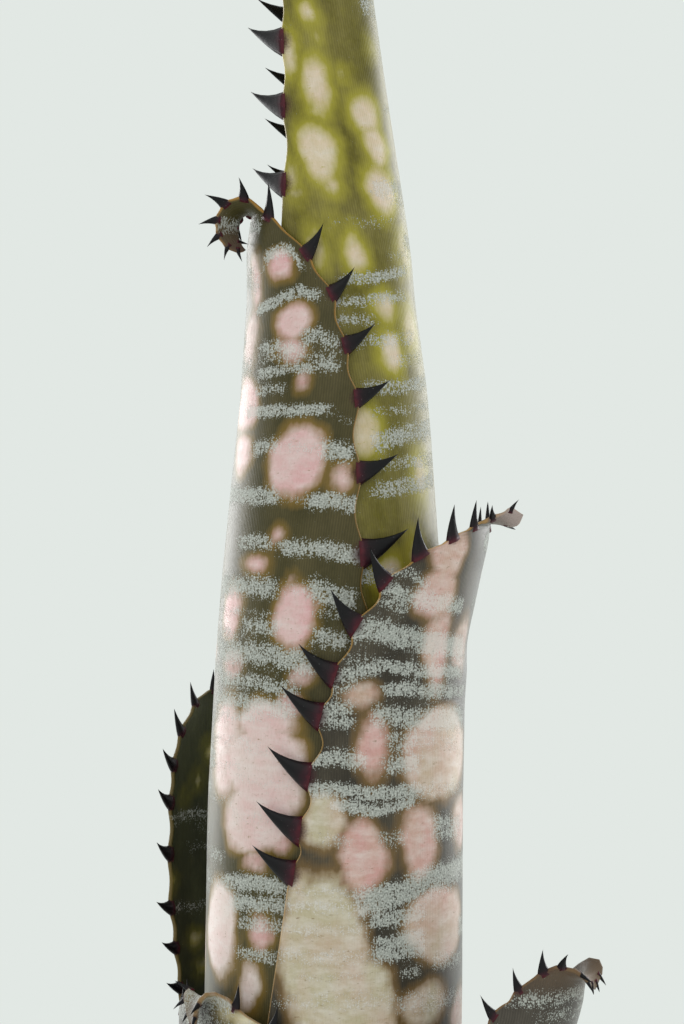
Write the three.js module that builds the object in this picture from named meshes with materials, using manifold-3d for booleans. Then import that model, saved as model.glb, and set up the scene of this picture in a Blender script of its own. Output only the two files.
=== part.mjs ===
// A potted tank bromeliad: seven strap leaves rolled round one another into an upright tube,
// each with hooked spines along its margins, on a short rooted stem in a clay pot of bark mix.
// Millimetres, +Z up, origin at the centre of the pot's underside. -Y is the front.
import * as THREE from "three";
import { ParametricGeometry } from "three/addons/geometries/ParametricGeometry.js";
import { mergeVertices } from "three/addons/utils/BufferGeometryUtils.js";
import Module from "manifold-3d";

const wasm = await Module();
wasm.setup();

// Driving dimensions

const GAP = 0.35; // clearance between neighbouring pieces
const POT = { height: 106, rimRadius: 60, rimDrop: 24, footRadius: 41, wall: 5, floor: 7, drain: 6.5 };
const MIX_TOP = 92;
const LEAF_THICKNESS = 0.9;
const LAYER = 1.6; // how far each leaf lies outside the one that it wraps
const LEAF_FOOT = MIX_TOP + GAP;
const RING_PITCH = 8; // most distance between two cross-sections of a leaf, before they are smoothed
const STEM = { bottom: 58, top: 107, radius: 4.4, crown: 8.5 };
const ROOT_RADIUS = 1.5;
const ROOT_COUNT = 6;
const CHIP_COUNT = 12;

// The innermost long leaf's roll: height, how far its axis stands to the right, and its radius.
const CORE = [
  [LEAF_FOOT, 0, 7.2],
  [105, -0.5, 11.2],
  [120, -1.2, 14.8],
  [140, -1.8, 17.8],
  [165, -2.3, 19.6],
  [200, -2.35, 20.3],
  [235, -2.0, 20.1],
  [262, -1.0, 19.6],
  [275, -1.1, 18.5],
  [290, -0.9, 17.2],
  [307, -0.6, 15.7],
  [325, -1.2, 13.9],
  [334, -1.6, 13.5],
  [343, -1.7, 12.3],
  [361, -3.1, 10.9],
  [379, -4.45, 9.7],
  [400, -5.7, 8.3],
  [413, -6.3, 7.8],
];

// facing: the midrib's direction seen from above, in degrees from +X towards +Y.
// layer: how many leaves it lies outside the innermost long leaf.
// tube rows: height, half wrap in degrees, lean outwards, added roll radius.
// tongue rows, from the last tube row: out, sideways, up, roll radius, half width, twist in degrees.
// footDepth: how deep the spines' feet sit inside the blade. spineHalfThickness: of their feet.
// spines: distance down the margin from the leaf's tip, and length. left and right are as seen
// from outside, looking at the leaf's back with its tip up.
const LEAVES = {
  leaf_heart: {
    facing: 170,
    layer: -1,
    colour: 0x8f8f45,
    across: 8,
    along: 20,
    tube: [
      [LEAF_FOOT, 150, 0, 0],
      [110, 150, 0, -2.5],
      [140, 150, 0, -7],
      [200, 150, 0, -11],
      [260, 148, 0, -11.5],
      [290, 140, 0, -10],
      [305, 110, 0, -9],
      [312, 70, 0, -8.5],
      [316, 35, 0, -8.5],
    ],
    tongue: [
      [0.3, 0, 2.5, 5, 1.8, 0],
      [1, 0, 5, 5, 0, 0],
    ],
    footDepth: 1.2,
    spineHalfThickness: 0.7,
    spines: {
      left: [[6, 2.5], [13, 3]],
      right: [[9, 2.5], [16, 3]],
    },
  },
  leaf_tall: {
    facing: -10,
    layer: 0,
    colour: 0x9a9552,
    across: 12,
    along: 34,
    tube: [
      [LEAF_FOOT, 150, 0, 0],
      [140, 118, 0, 0],
      [200, 112, 0, 0],
      [280, 114, 0, 0],
      [310, 118, 0, 0],
      [340, 124, 0, 0],
      [380, 122, 0, 0],
      [392, 112, 0, 0],
      [400, 98, 0, 0],
      [406, 78, 0, 0],
      [410, 55, 0, 0],
      [413, 30, 0, 0],
    ],
    tongue: [
      [0.8, 0, 2.2, 8, 3.2, 0],
      [2.6, 0, 3.8, 8, 3.0, 0],
      [5.0, 0, 4.2, 8, 2.6, 0],
      [7.2, 0, 3.2, 8, 1.5, 0],
      [8.6, 0, 1.6, 8, 0, 0],
    ],
    footDepth: 1.07,
    spineHalfThickness: 0.83,
    spines: {
      left: [[2, 1.8], [5, 2.4], [9, 3.4], [16, 5], [25, 6.5], [36, 7.5], [48, 8.2], [60, 8.3], [71.5, 8], [85.5, 8]],
      right: [[3, 1.8], [6.5, 2.6], [12, 4], [20, 5.6], [30, 7], [41, 7.6], [53, 8], [65, 7], [74.5, 7.5], [83, 7.5]],
    },
  },
  leaf_left: {
    facing: 198,
    layer: 1,
    colour: 0x7a6a52,
    across: 12,
    along: 32,
    tube: [
      [LEAF_FOOT, 150, 0, 0],
      [140, 112, 0, 0],
      [200, 98, 0, 0],
      [260, 90, 0, 0],
      [284, 86, 0, 0],
      [307, 84, 0, 0],
      [316, 79, 0, 0],
      [325, 72, 0, 0],
      [330.5, 60, 0, 0],
      [334, 51, 0, 0],
      [337, 39, 0, 0],
      [338.8, 28, 0, 0],
      [340, 17, 0, 0],
    ],
    tongue: [
      [1.1, 0, 0.8, 12, 3.4, 12],
      [2.7, 0, 0.8, 9, 3.5, 34],
      [4.1, 0, 0, 8, 3.4, 52],
      [5.0, 0, -1.4, 7, 3.1, 62],
      [5.1, 0, -3.2, 6, 2.6, 68],
      [4.3, 0, -4.9, 6, 1.9, 68],
      [3.1, 0, -5.9, 6, 1.1, 68],
      [1.9, 0, -6.2, 6, 0, 68],
    ],
    footDepth: 1.13,
    spineHalfThickness: 0.77,
    spines: {
      left: [[2, 1.6], [4.2, 2], [6.6, 2.4], [9.4, 2.8], [13, 3.4], [20, 5], [30, 5.6], [42, 6], [55, 6], [68, 6], [80, 5.6]],
      right: [[1.8, 1.6], [4.2, 2], [7, 2.4], [10, 2.8], [13.5, 3.4], [17.5, 3.4], [23.8, 5.2], [35.5, 5.2], [44, 5.2], [53.5, 5.6], [63, 5.8], [76, 6.8], [90, 8.2], [101.5, 5]],
    },
  },
  leaf_right: {
    facing: 342,
    layer: 2,
    colour: 0x8c7f74,
    across: 12,
    along: 30,
    tube: [
      [LEAF_FOOT, 150, 0, 0],
      [140, 118, 0, 0],
      [195, 100, 0, 0],
      [217, 92, 0, 0],
      [235, 86, 0, 0],
      [253, 79.5, 0, 0],
      [264, 71.5, 0.4, 0.1],
      [271.3, 64.3, 2.0, 0.7],
      [276.5, 57, 3.3, 1.0],
      [280, 46, 4.3, 1.1],
      [282.2, 34, 4.8, 1.2],
      [283.8, 23, 5.1, 1.2],
      [285, 12, 5.3, 1.2],
    ],
    tongue: [
      [0.6, 0, 0.4, 12, 2.5, 0],
      [1.9, 0, 0.6, 8, 2.0, -15],
      [3.7, 0, 0.9, 6, 2.2, -40],
      [5.6, 0, 1.3, 6, 1.9, -60],
      [7.2, 0, 1.7, 6, 0, -62],
    ],
    footDepth: 1.13,
    spineHalfThickness: 0.7,
    spines: {
      left: [[2.5, 1.8], [6.5, 2.6], [11, 4], [17.5, 5], [25, 5.6], [33, 5.6], [42, 6.4], [51.5, 6.8], [59, 7.2], [69.5, 7.4], [79, 7.6], [86.5, 7.4]],
      right: [[5, 2.2], [12, 4], [20, 5.4], [30, 6.4], [40, 7], [51, 7.2], [62, 7.4], [73, 7]],
    },
  },
  leaf_back_left: {
    facing: 115,
    layer: 3,
    colour: 0x33341e,
    across: 12,
    along: 26,
    tube: [
      [LEAF_FOOT, 150, 0, 0],
      [110, 116, 0, 0],
      [130, 76, 0, 0],
      [150, 55, 0.1, 0.3],
      [165, 46, 0.2, 1.2],
      [180, 42, 0.3, 3.0],
      [197, 41, 0.4, 5.0],
      [217, 44, 0.6, 6.8],
      [233, 43.5, 1.2, 6.8],
      [241, 41.5, 1.6, 6.8],
      [245.5, 38, 2.0, 6.8],
      [249.5, 32, 2.4, 6.8],
      [253, 24, 2.8, 6.8],
    ],
    tongue: [
      [0.8, 0, 1.8, 14, 6.0, 0],
      [2.2, 0, 3.4, 10, 3.6, 0],
      [4.0, 0, 4.0, 8, 2.0, 0],
      [6.0, 0, 3.6, 8, 0, 0],
    ],
    footDepth: 1.2,
    spineHalfThickness: 0.7,
    spines: {
      left: [[2, 1.5], [5, 2], [10, 3], [17, 4], [25, 4.6], [34, 5], [44, 5], [54, 4.5]],
      right: [[2, 1.5], [5, 2], [9.5, 2.8], [14.5, 3.2], [20, 3.6], [27, 4.2], [34, 4.6], [41, 5], [50.5, 5.2], [60.5, 5], [68, 4.6], [75.5, 4.4]],
    },
  },
  leaf_low_right: {
    facing: 333,
    layer: 5,
    colour: 0x6d6e60,
    across: 12,
    along: 26,
    tube: [
      [LEAF_FOOT, 150, 0, 0],
      [110, 120, 0.3, 0],
      [130, 98, 1.5, 0],
      [150, 82, 4, -0.5],
      [165, 74, 9, -3.6],
      [180, 64, 18, -8],
    ],
    tongue: [
      [4.4, 0, 9.5, 17, 20.4, 0],
      [7.0, 0, 15, 16, 19, 0],
      [8.6, 0, 19.4, 15, 17.8, 0],
      [9.5, 0, 22.6, 14, 16.4, 0],
      [9.9, 0, 25, 13, 14.4, 0],
      [10.3, 0, 26.8, 12, 11.8, 0],
      [11.0, 0, 27.9, 11, 8.8, 0],
      [12.0, 0, 27.8, 10, 5.4, 0],
      [12.8, 0, 26.8, 9, 2.6, 0],
      [13.2, 0, 25.6, 8, 0, 0],
    ],
    footDepth: 1.07,
    spineHalfThickness: 0.7,
    spines: {
      left: [[1.5, 1.2], [3.5, 1.5], [6, 2], [10.6, 2.8], [14, 3.6], [19.2, 3.3], [25.5, 3.4], [33, 4.4], [43, 4.8], [53, 4.8]],
      right: [[1.5, 1.2], [3.5, 1.5], [26, 4], [35, 4.8], [45, 4.8]],
    },
  },
  leaf_low_left: {
    facing: 218,
    layer: 4,
    colour: 0x5f5850,
    across: 12,
    along: 26,
    tube: [
      [LEAF_FOOT, 150, 0, 0],
      [110, 112, 0, 0],
      [130, 80, 0, 0],
      [150, 60, 0, 0],
      [165, 53, 0, 0],
      [178, 49, 0.1, -0.1],
      [187, 45.5, 0.3, -0.3],
      [193, 41, 0.5, -0.5],
      [197, 35.5, 0.7, -0.7],
      [200, 28, 1.0, -1.0],
      [202, 18, 1.3, -1.3],
    ],
    tongue: [
      [0.7, 0, 0.9, 10, 5.4, 4],
      [1.6, 0, 0.8, 8, 4.9, 14],
      [2.3, 0, -0.3, 8, 4.2, 20],
      [2.7, 0, -2.0, 8, 3.2, 24],
      [2.9, 0, -3.9, 8, 1.9, 24],
      [3.0, 0, -5.5, 8, 0, 24],
    ],
    footDepth: 1.07,
    spineHalfThickness: 0.77,
    spines: {
      left: [[2.4, 1.6], [5, 2], [7.5, 2.4], [10, 2.4], [12.8, 2.4], [17, 2.4], [22, 2.4], [29, 3], [38, 4.4], [50, 4.6]],
      right: [[2.4, 1.6], [5, 2], [7.5, 2.4], [17, 3.6], [25, 4.2], [34, 4.6], [44, 4.8], [55, 4.6]],
    },
  },
};

const SPINE_FOOT = 0.42; // half the foot's length along the margin, as a share of the spine's length
const SPINE_HOOK = 0.38; // how far the point leans towards the leaf's tip, as a share of its length

// Solids

// A closed geometry, with shared vertices merged, as a manifold-3d solid.
function solidOf(geometry) {
  const bare = new THREE.BufferGeometry();
  bare.setAttribute("position", geometry.getAttribute("position"));
  bare.setIndex(geometry.getIndex());
  const merged = mergeVertices(bare, 1e-3);
  const mesh = new wasm.Mesh({
    numProp: 3,
    vertProperties: merged.attributes.position.array,
    triVerts: new Uint32Array(merged.index.array),
  });
  return new wasm.Manifold(mesh);
}

function geometryOf(solid) {
  const mesh = solid.getMesh();
  const geometry = new THREE.BufferGeometry();
  geometry.setAttribute("position", new THREE.BufferAttribute(mesh.vertProperties, 3));
  geometry.setIndex(new THREE.BufferAttribute(mesh.triVerts, 1));
  geometry.computeVertexNormals();
  return geometry;
}

// A profile of [radius, height] points turned about the upright axis.
function turned(profile, segments) {
  const points = profile.map(([radius, height]) => new THREE.Vector2(radius, height));
  return new THREE.LatheGeometry(points, segments).rotateX(Math.PI / 2);
}

function namedMesh(name, geometry, colour, roughness) {
  const material = new THREE.MeshStandardMaterial({ color: colour, roughness, metalness: 0 });
  const mesh = new THREE.Mesh(geometry, material);
  mesh.name = name;
  return mesh;
}

// Leaf shape

// The values of a table at a height, by straight lines between its rows.
function rowAt(table, height) {
  const last = table.length - 1;
  const upper = Math.min(Math.max(table.findIndex((row) => row[0] >= height), 1), last);
  const below = table[upper - 1];
  const above = table[height > table[last][0] ? last : upper];
  const share = THREE.MathUtils.clamp((height - below[0]) / (above[0] - below[0]), 0, 1);
  return below.map((value, i) => THREE.MathUtils.lerp(value, above[i], share));
}

// Each cross-section is [x, y, z of the midrib, roll radius, half width, twist, level]. In the tube
// the sections are level, so that the rolled leaves nest; in the tongue they follow the midrib.
function crossSections(leaf) {
  const facing = THREE.MathUtils.degToRad(leaf.facing);
  const out = [Math.cos(facing), Math.sin(facing)];
  const sections = [];
  for (let i = 1; i < leaf.tube.length; i++) {
    const [from, to] = [leaf.tube[i - 1][0], leaf.tube[i][0]];
    const steps = Math.ceil((to - from) / RING_PITCH);
    for (let k = i === 1 ? 0 : 1; k <= steps; k++) {
      const height = from + ((to - from) * k) / steps;
      const [, wrap, lean, widen] = rowAt(leaf.tube, height);
      const [, axisX, coreRadius] = rowAt(CORE, height);
      const roll = coreRadius + leaf.layer * LAYER + widen;
      const reach = lean + roll;
      const half = THREE.MathUtils.degToRad(wrap) * roll;
      sections.push([axisX + reach * out[0], reach * out[1], height, roll, half, 0, 1]);
    }
  }
  const [x, y, z] = sections[sections.length - 1];
  for (const [away, side, up, roll, half, twist] of leaf.tongue) {
    const px = x + away * out[0] - side * out[1];
    const py = y + away * out[1] + side * out[0];
    sections.push([px, py, z + up, roll, half, THREE.MathUtils.degToRad(twist), 0]);
  }
  return sections;
}

const UP = new THREE.Vector3(0, 0, 1);

// A smooth curve through all numbers of the sections, against the distance along the midrib.
class Blade {
  constructor(leaf) {
    const facing = THREE.MathUtils.degToRad(leaf.facing);
    this.across = new THREE.Vector3(-Math.sin(facing), Math.cos(facing), 0);
    this.rows = crossSections(leaf);
    this.knots = [0];
    for (let i = 1; i < this.rows.length; i++) {
      const [a, b] = [this.rows[i - 1], this.rows[i]];
      this.knots.push(this.knots[i - 1] + Math.hypot(b[0] - a[0], b[1] - a[1], b[2] - a[2]));
    }
    this.length = this.knots[this.knots.length - 1];
  }

  // The slope of one number at knot i.
  slope(i, column) {
    const [low, high] = [Math.max(i - 1, 0), Math.min(i + 1, this.rows.length - 1)];
    return (this.rows[high][column] - this.rows[low][column]) / (this.knots[high] - this.knots[low]);
  }

  // All the numbers at a distance along the midrib, and their slopes.
  row(distance) {
    const last = this.rows.length - 2;
    const i = Math.min(Math.max(this.knots.findIndex((k) => k > distance) - 1, 0), last);
    const at = distance >= this.length ? last : i;
    const span = this.knots[at + 1] - this.knots[at];
    const t = (distance - this.knots[at]) / span;
    const [t2, t3] = [t * t, t * t * t];
    const values = [];
    const slopes = [];
    for (let c = 0; c < 7; c++) {
      const [a, b] = [this.rows[at][c], this.rows[at + 1][c]];
      const [ma, mb] = [this.slope(at, c) * span, this.slope(at + 1, c) * span];
      values.push((2 * t3 - 3 * t2 + 1) * a + (t3 - 2 * t2 + t) * ma + (3 * t2 - 2 * t3) * b + (t3 - t2) * mb);
      slopes.push((6 * t2 - 6 * t) * (a - b) + (3 * t2 - 4 * t + 1) * ma + (3 * t2 - 2 * t) * mb);
    }
    return { values, slopes };
  }

  // The point and outward normal at a distance along the leaf and an offset from its midrib,
  // given as a share of the half width from -1 to 1.
  at(distance, share) {
    const { values, slopes } = this.row(distance);
    const [x, y, z, roll, half, twist, level] = values;
    const along = new THREE.Vector3(slopes[0], slopes[1], slopes[2]).normalize();
    along.lerp(UP, THREE.MathUtils.clamp(level, 0, 1)).normalize();
    const across = this.across.clone().addScaledVector(along, -this.across.dot(along)).normalize();
    across.applyAxisAngle(along, twist);
    const out = across.clone().cross(along);
    const angle = (share * Math.max(half, 0)) / roll;
    const point = new THREE.Vector3(x, y, z)
      .addScaledVector(across, roll * Math.sin(angle))
      .addScaledVector(out, -roll * (1 - Math.cos(angle)));
    const normal = out.multiplyScalar(Math.cos(angle)).addScaledVector(across, Math.sin(angle));
    return { point, normal };
  }
}

const FOOT_TAPER = 0.03; // share of the leaf's length over which its two ends thin out
const TIP_CROWDING = 1.6; // how much closer the cross-sections lie towards the tip

function bladeGeometry(blade, leaf) {
  const surface = (u, v, target) => {
    const outside = u <= 0.5;
    const share = outside ? 4 * u - 1 : 3 - 4 * u;
    const distance = blade.length * (1 - (1 - v) ** TIP_CROWDING);
    const { point, normal } = blade.at(distance, share);
    const thinning = THREE.MathUtils.clamp(Math.min(v, 1 - v) / FOOT_TAPER, 0, 1);
    const offset = (LEAF_THICKNESS / 2) * thinning * (outside ? 1 : -1);
    target.copy(point).addScaledVector(normal, u === 1 ? -offset : offset);
    if (u === 1) target.copy(blade.at(distance, -1).point).addScaledVector(normal, -offset);
  };
  return new ParametricGeometry(surface, 2 * leaf.across, leaf.along);
}

// Where a spine stands: the foot's point, the way to the leaf's tip, and outwards.
function marginFrames(blade, side, distances) {
  const steps = 600;
  const path = [];
  let walked = 0;
  for (let i = 0; i <= steps; i++) {
    const distance = blade.length * (1 - i / steps);
    const point = blade.at(distance, side).point;
    if (i > 0) walked += point.distanceTo(path[i - 1].point);
    path.push({ distance, point, walked });
  }
  return distances.map((wanted) => {
    const i = Math.max(path.findIndex((p) => p.walked >= wanted), 1);
    const towardsTip = path[i - 1].point.clone().sub(path[Math.min(i + 1, steps)].point).normalize();
    const { point, normal } = blade.at(path[i].distance, side);
    const outwards = normal.clone().cross(towardsTip).multiplyScalar(-side).normalize();
    return { point, towardsTip, outwards };
  });
}

// A spine is a flattened four-sided point that leans towards the leaf's tip.
function spineSolid({ point, towardsTip, outwards }, length, leaf) {
  const cone = new THREE.ConeGeometry(1, 1, 4, 1).translate(0, 0.5, 0);
  const height = outwards
    .clone()
    .multiplyScalar(length + leaf.footDepth)
    .addScaledVector(towardsTip, length * SPINE_HOOK);
  const basis = new THREE.Matrix4().makeBasis(
    towardsTip.clone().multiplyScalar(length * SPINE_FOOT + 0.4),
    height,
    towardsTip.clone().cross(outwards).normalize().multiplyScalar(leaf.spineHalfThickness),
  );
  const foot = point.clone().addScaledVector(outwards, -leaf.footDepth);
  return solidOf(cone.applyMatrix4(basis.setPosition(foot)));
}

function leafMesh(name, leaf) {
  const blade = new Blade(leaf);
  let solid = solidOf(bladeGeometry(blade, leaf));
  for (const [key, side] of [["left", -1], ["right", 1]]) {
    const frames = marginFrames(blade, side, leaf.spines[key].map(([distance]) => distance));
    frames.forEach((frame, i) => {
      solid = solid.add(spineSolid(frame, leaf.spines[key][i][1], leaf));
    });
  }
  return namedMesh(name, geometryOf(solid.simplify(0.01)), leaf.colour, 0.55);
}

// Stem, roots, mix and pot

// The stem and its roots, all grown by a clearance where a hollow for them is wanted.
function stemSolid(clearance) {
  const { bottom, top, radius, crown } = STEM;
  const profile = [
    [0, bottom - clearance],
    [crown * 0.7 + clearance, bottom - clearance],
    [crown + clearance, bottom + 8],
    [crown + clearance, MIX_TOP - 14],
    [radius + clearance, MIX_TOP - 3],
    [radius + clearance, MIX_TOP + 6],
    [radius * 0.5 + clearance, top + clearance],
    [0, top + clearance],
  ];
  let solid = solidOf(turned(profile, 16));
  for (let i = 0; i < ROOT_COUNT; i++) {
    const angle = ((i + 0.5) * 2 * Math.PI) / ROOT_COUNT;
    const place = (radial, height) =>
      new THREE.Vector3(radial * Math.cos(angle), radial * Math.sin(angle), height);
    const dip = 6 * Math.sin(2.4 * i); // roots leave and end at uneven heights
    const path = new THREE.CatmullRomCurve3([
      place(crown - 4, 70 + dip / 2),
      place(crown + 6, 66 + dip / 2),
      place(22, 52 + dip),
      place(29 + dip / 2, 28 + dip),
    ]);
    const section = new THREE.Shape().absarc(0, 0, ROOT_RADIUS + clearance, 0, 2 * Math.PI);
    const root = new THREE.ExtrudeGeometry(section, { steps: 7, curveSegments: 6, extrudePath: path });
    solid = solid.add(solidOf(root));
  }
  return solid;
}

function potProfile() {
  const { height, rimRadius, rimDrop, footRadius, wall, floor, drain } = POT;
  const shoulder = height - rimDrop;
  const waist = rimRadius - 5; // the body's radius where the rim band starts
  return [
    [drain, 0],
    [footRadius - 1.5, 0],
    [footRadius, 1.5],
    [waist, shoulder - 1],
    [rimRadius - 1.2, shoulder],
    [rimRadius, shoulder + 1.2],
    [rimRadius, height - 1.5],
    [rimRadius - 1.5, height],
    [rimRadius - wall, height],
    [rimRadius - wall - 1, height - 1.5],
    [potInside(shoulder), shoulder],
    [potInside(floor + 3), floor + 3],
    [potInside(floor + 3) - 3, floor],
    [drain, floor],
    [drain, 0],
  ];
}

// The radius of the pot's inner wall at a height.
function potInside(height) {
  const shoulder = POT.height - POT.rimDrop;
  const share = Math.min(height / shoulder, 1);
  return THREE.MathUtils.lerp(POT.footRadius, POT.rimRadius - 5, share) - POT.wall;
}

function mixGeometry() {
  const bottom = POT.floor + GAP;
  const shoulder = POT.height - POT.rimDrop;
  const profile = [
    [0, bottom],
    [potInside(bottom + 3) - 3 - GAP, bottom],
    [potInside(bottom + 3) - GAP, bottom + 3],
    [potInside(shoulder) - GAP, shoulder],
    [potInside(shoulder) - GAP, MIX_TOP],
    [0, MIX_TOP],
  ];
  return geometryOf(solidOf(turned(profile, 48)).subtract(stemSolid(GAP)));
}

// Loose pieces of bark lie flat on the mix in two rings round the plant.
function chipMesh(index) {
  const outer = index % 2;
  const angle = (index * 2 * Math.PI) / CHIP_COUNT + 0.35 * outer;
  const ring = outer ? 42 : 29;
  const size = [6 + 1.6 * Math.sin(3.1 * index), 4.2 + 1.1 * Math.cos(2.3 * index), 2.1];
  const chip = new THREE.DodecahedronGeometry(1, 0).scale(size[0], size[1], size[2]);
  chip.rotateX(0.12 * Math.sin(5 * index)).rotateZ(angle + 1.9 * index);
  chip.computeBoundingBox();
  const mesh = namedMesh(`bark_chip_${String(index + 1).padStart(2, "0")}`, chip, 0x6b4a33, 0.9);
  const lift = MIX_TOP + GAP - chip.boundingBox.min.z;
  mesh.position.set(ring * Math.cos(angle), ring * Math.sin(angle), lift);
  return mesh;
}

const plant = new THREE.Group();
plant.add(namedMesh("pot", turned(potProfile(), 48), 0xb5714f, 0.85));
plant.add(namedMesh("potting_mix", mixGeometry(), 0x3b2c22, 0.95));
plant.add(namedMesh("stem_and_roots", geometryOf(stemSolid(0)), 0x8d7a4f, 0.8));
for (const [name, leaf] of Object.entries(LEAVES)) plant.add(leafMesh(name, leaf));
for (let i = 0; i < CHIP_COUNT; i++) plant.add(chipMesh(i));

export default plant;
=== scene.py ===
# %% [markdown]
# # A potted tank bromeliad
# The plant is a handful of stiff strap leaves rolled round one another into an upright tube, grown
# in a clay pot of bark mix. A measured model gives every piece its place and size, and this notebook
# gives each one its looks. Everything is in metres with +Z up, and the front looks towards -Y.

# %% Load the measured model
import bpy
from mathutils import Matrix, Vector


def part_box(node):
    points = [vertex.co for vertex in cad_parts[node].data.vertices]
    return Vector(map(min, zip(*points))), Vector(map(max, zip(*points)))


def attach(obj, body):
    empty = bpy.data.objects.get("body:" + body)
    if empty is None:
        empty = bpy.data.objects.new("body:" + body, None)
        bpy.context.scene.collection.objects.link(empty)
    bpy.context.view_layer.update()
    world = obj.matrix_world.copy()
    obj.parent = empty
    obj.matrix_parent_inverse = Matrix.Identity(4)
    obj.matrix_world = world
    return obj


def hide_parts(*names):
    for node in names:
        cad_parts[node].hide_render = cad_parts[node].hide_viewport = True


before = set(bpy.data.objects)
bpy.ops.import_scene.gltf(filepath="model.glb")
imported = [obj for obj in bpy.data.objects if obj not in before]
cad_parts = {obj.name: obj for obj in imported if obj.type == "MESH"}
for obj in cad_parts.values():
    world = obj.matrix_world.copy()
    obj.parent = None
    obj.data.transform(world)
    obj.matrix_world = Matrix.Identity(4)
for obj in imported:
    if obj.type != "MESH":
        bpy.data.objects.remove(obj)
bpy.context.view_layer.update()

# %% [markdown]
# The pieces are made with Blender's own modelling operators, and NumPy does the sums that run over
# thousands of points at once. Lengths in the tables are in millimetres.

# %% Tools
import math
import random

import bmesh
import bpy
import numpy as np
from mathutils import Matrix, Vector, noise

MM = 0.001  # a millimetre in metres
TINY = 1e-6  # a length that counts as none
FIRST_SEED = 11  # chance starts from fixed seeds, so every run makes the same plant

# %% [markdown]
# Two steps come up again and again: turning a bmesh, which is what the modelling operators work on,
# into mesh data, and adding data to the scene as an object.

# %% Two helpers
def mesh_from(bm, name):
    """Mesh data made from a bmesh, which is then freed."""
    mesh = bpy.data.meshes.new(name)
    bm.to_mesh(mesh)
    bm.free()
    return mesh


def add_object(name, data):
    thing = bpy.data.objects.new(name, data)
    bpy.context.scene.collection.objects.link(thing)
    return thing


# %% [markdown]
# ## Shader sums
# A finish is a tree of nodes. Wiring it by hand is long and hard to read, so a small class wraps one
# output and turns `a * b + 1` into Math nodes. Colours never pass through it, because a Math node
# would make them grey: they are blended by Mix nodes instead.

# %% A wrapped output
class Wire:
    def __init__(self, finish, socket):
        self.finish = finish
        self.socket = socket

    def sum(self, operation, first, second=0.0, clamp=False):
        settings = {"operation": operation, "use_clamp": clamp}
        return self.finish.node("ShaderNodeMath", settings, {0: first, 1: second})

    def __add__(self, other):
        return self.sum("ADD", self, other)

    def __radd__(self, other):
        return self.sum("ADD", other, self)

    def __sub__(self, other):
        return self.sum("SUBTRACT", self, other)

    def __rsub__(self, other):
        return self.sum("SUBTRACT", other, self)

    def __mul__(self, other):
        return self.sum("MULTIPLY", self, other)

    def sine(self):
        return self.sum("SINE", self)

    def absolute(self):
        return self.sum("ABSOLUTE", self)

    def clamped(self):
        return self.sum("ADD", self, 0.0, clamp=True)


# %% [markdown]
# One method makes every node. It takes the node's type, its settings, which are set first because
# they can change its sockets, and then the values or links of its inputs.

# %% A finish
class Finish:
    def __init__(self, name, **constants):
        self.material = bpy.data.materials.new(name)
        self.material.use_nodes = True
        self.tree = self.material.node_tree
        self.tree.nodes.clear()
        self.shader = self.tree.nodes.new("ShaderNodeBsdfPrincipled")
        output = self.tree.nodes.new("ShaderNodeOutputMaterial")
        self.tree.links.new(self.shader.outputs["BSDF"], output.inputs["Surface"])
        for socket, value in constants.items():
            self.shader.inputs[socket.replace("_", " ")].default_value = value

    def node(self, kind, settings=None, inputs=None, output=0):
        made = self.tree.nodes.new(kind)
        for key, value in (settings or {}).items():
            if key == "stops":
                self.set_stops(made.color_ramp, value)
            else:
                setattr(made, key, value)
        for key, value in (inputs or {}).items():
            self.feed(made.inputs[key], value)
        return Wire(self, made.outputs[output])

    def feed(self, socket, value):
        if isinstance(value, Wire):
            self.tree.links.new(value.socket, socket)
        else:
            socket.default_value = value

    def set_stops(self, ramp, stops):
        while len(ramp.elements) < len(stops):
            ramp.elements.new(1.0)
        for element, (position, colour) in zip(ramp.elements, stops):
            element.position = position
            element.color = colour

    def attribute(self, name):
        return self.node("ShaderNodeAttribute", {"attribute_name": name}, output="Fac")

    def place(self):
        return self.node("ShaderNodeTexCoord", output="Object")

    def height(self):
        """How high a point lies above the object's foot, in millimetres."""
        separate = self.node("ShaderNodeSeparateXYZ", None, {0: self.place()}, output="Z")
        return separate * (1 / MM)

    def vector(self, x, y, z):
        return self.node("ShaderNodeCombineXYZ", None, {0: x, 1: y, 2: z})

    def noise(self, vector, scale=1.0, detail=2.0, roughness=0.5):
        inputs = {"Vector": vector, "Scale": scale, "Detail": detail, "Roughness": roughness}
        return self.node("ShaderNodeTexNoise", None, inputs)

    def cells(self, vector, scale=1.0):
        inputs = {"Vector": vector, "Scale": scale}
        return self.node("ShaderNodeTexVoronoi", None, inputs, output="Distance")

    def mix(self, share, first, second):
        inputs = {0: share, 6: first, 7: second}
        return self.node("ShaderNodeMix", {"data_type": "RGBA"}, inputs, output=2)

    def ramp(self, value, stops):
        return self.node("ShaderNodeValToRGB", {"stops": stops}, {0: value})

    def bump(self, height, strength, distance):
        inputs = {"Height": height, "Strength": strength, "Distance": distance}
        return self.node("ShaderNodeBump", None, inputs)

    def set(self, **values):
        for socket, value in values.items():
            self.feed(self.shader.inputs[socket.replace("_", " ")], value)


def tone(red, green, blue):
    """A colour given as it looks on a screen, 0 to 255, in the linear light that shaders use."""
    def linear(level):
        share = level / 255
        return share / 12.92 if share <= 0.04045 else ((share + 0.055) / 1.055) ** 2.4

    return (linear(red), linear(green), linear(blue), 1.0)


# %% [markdown]
# ## The shape of a leaf
# A strap leaf is a long sheet whose cross-section is an arc: at the foot it nearly closes into a ring,
# and at the tip it opens and narrows to a point. It could be sculpted, but a few numbers along its
# length say it all, and they are the same numbers that the measured leaf was made from. Each leaf's
# table gives the height, the half wrap in degrees, the lean and the extra roll radius.

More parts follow.
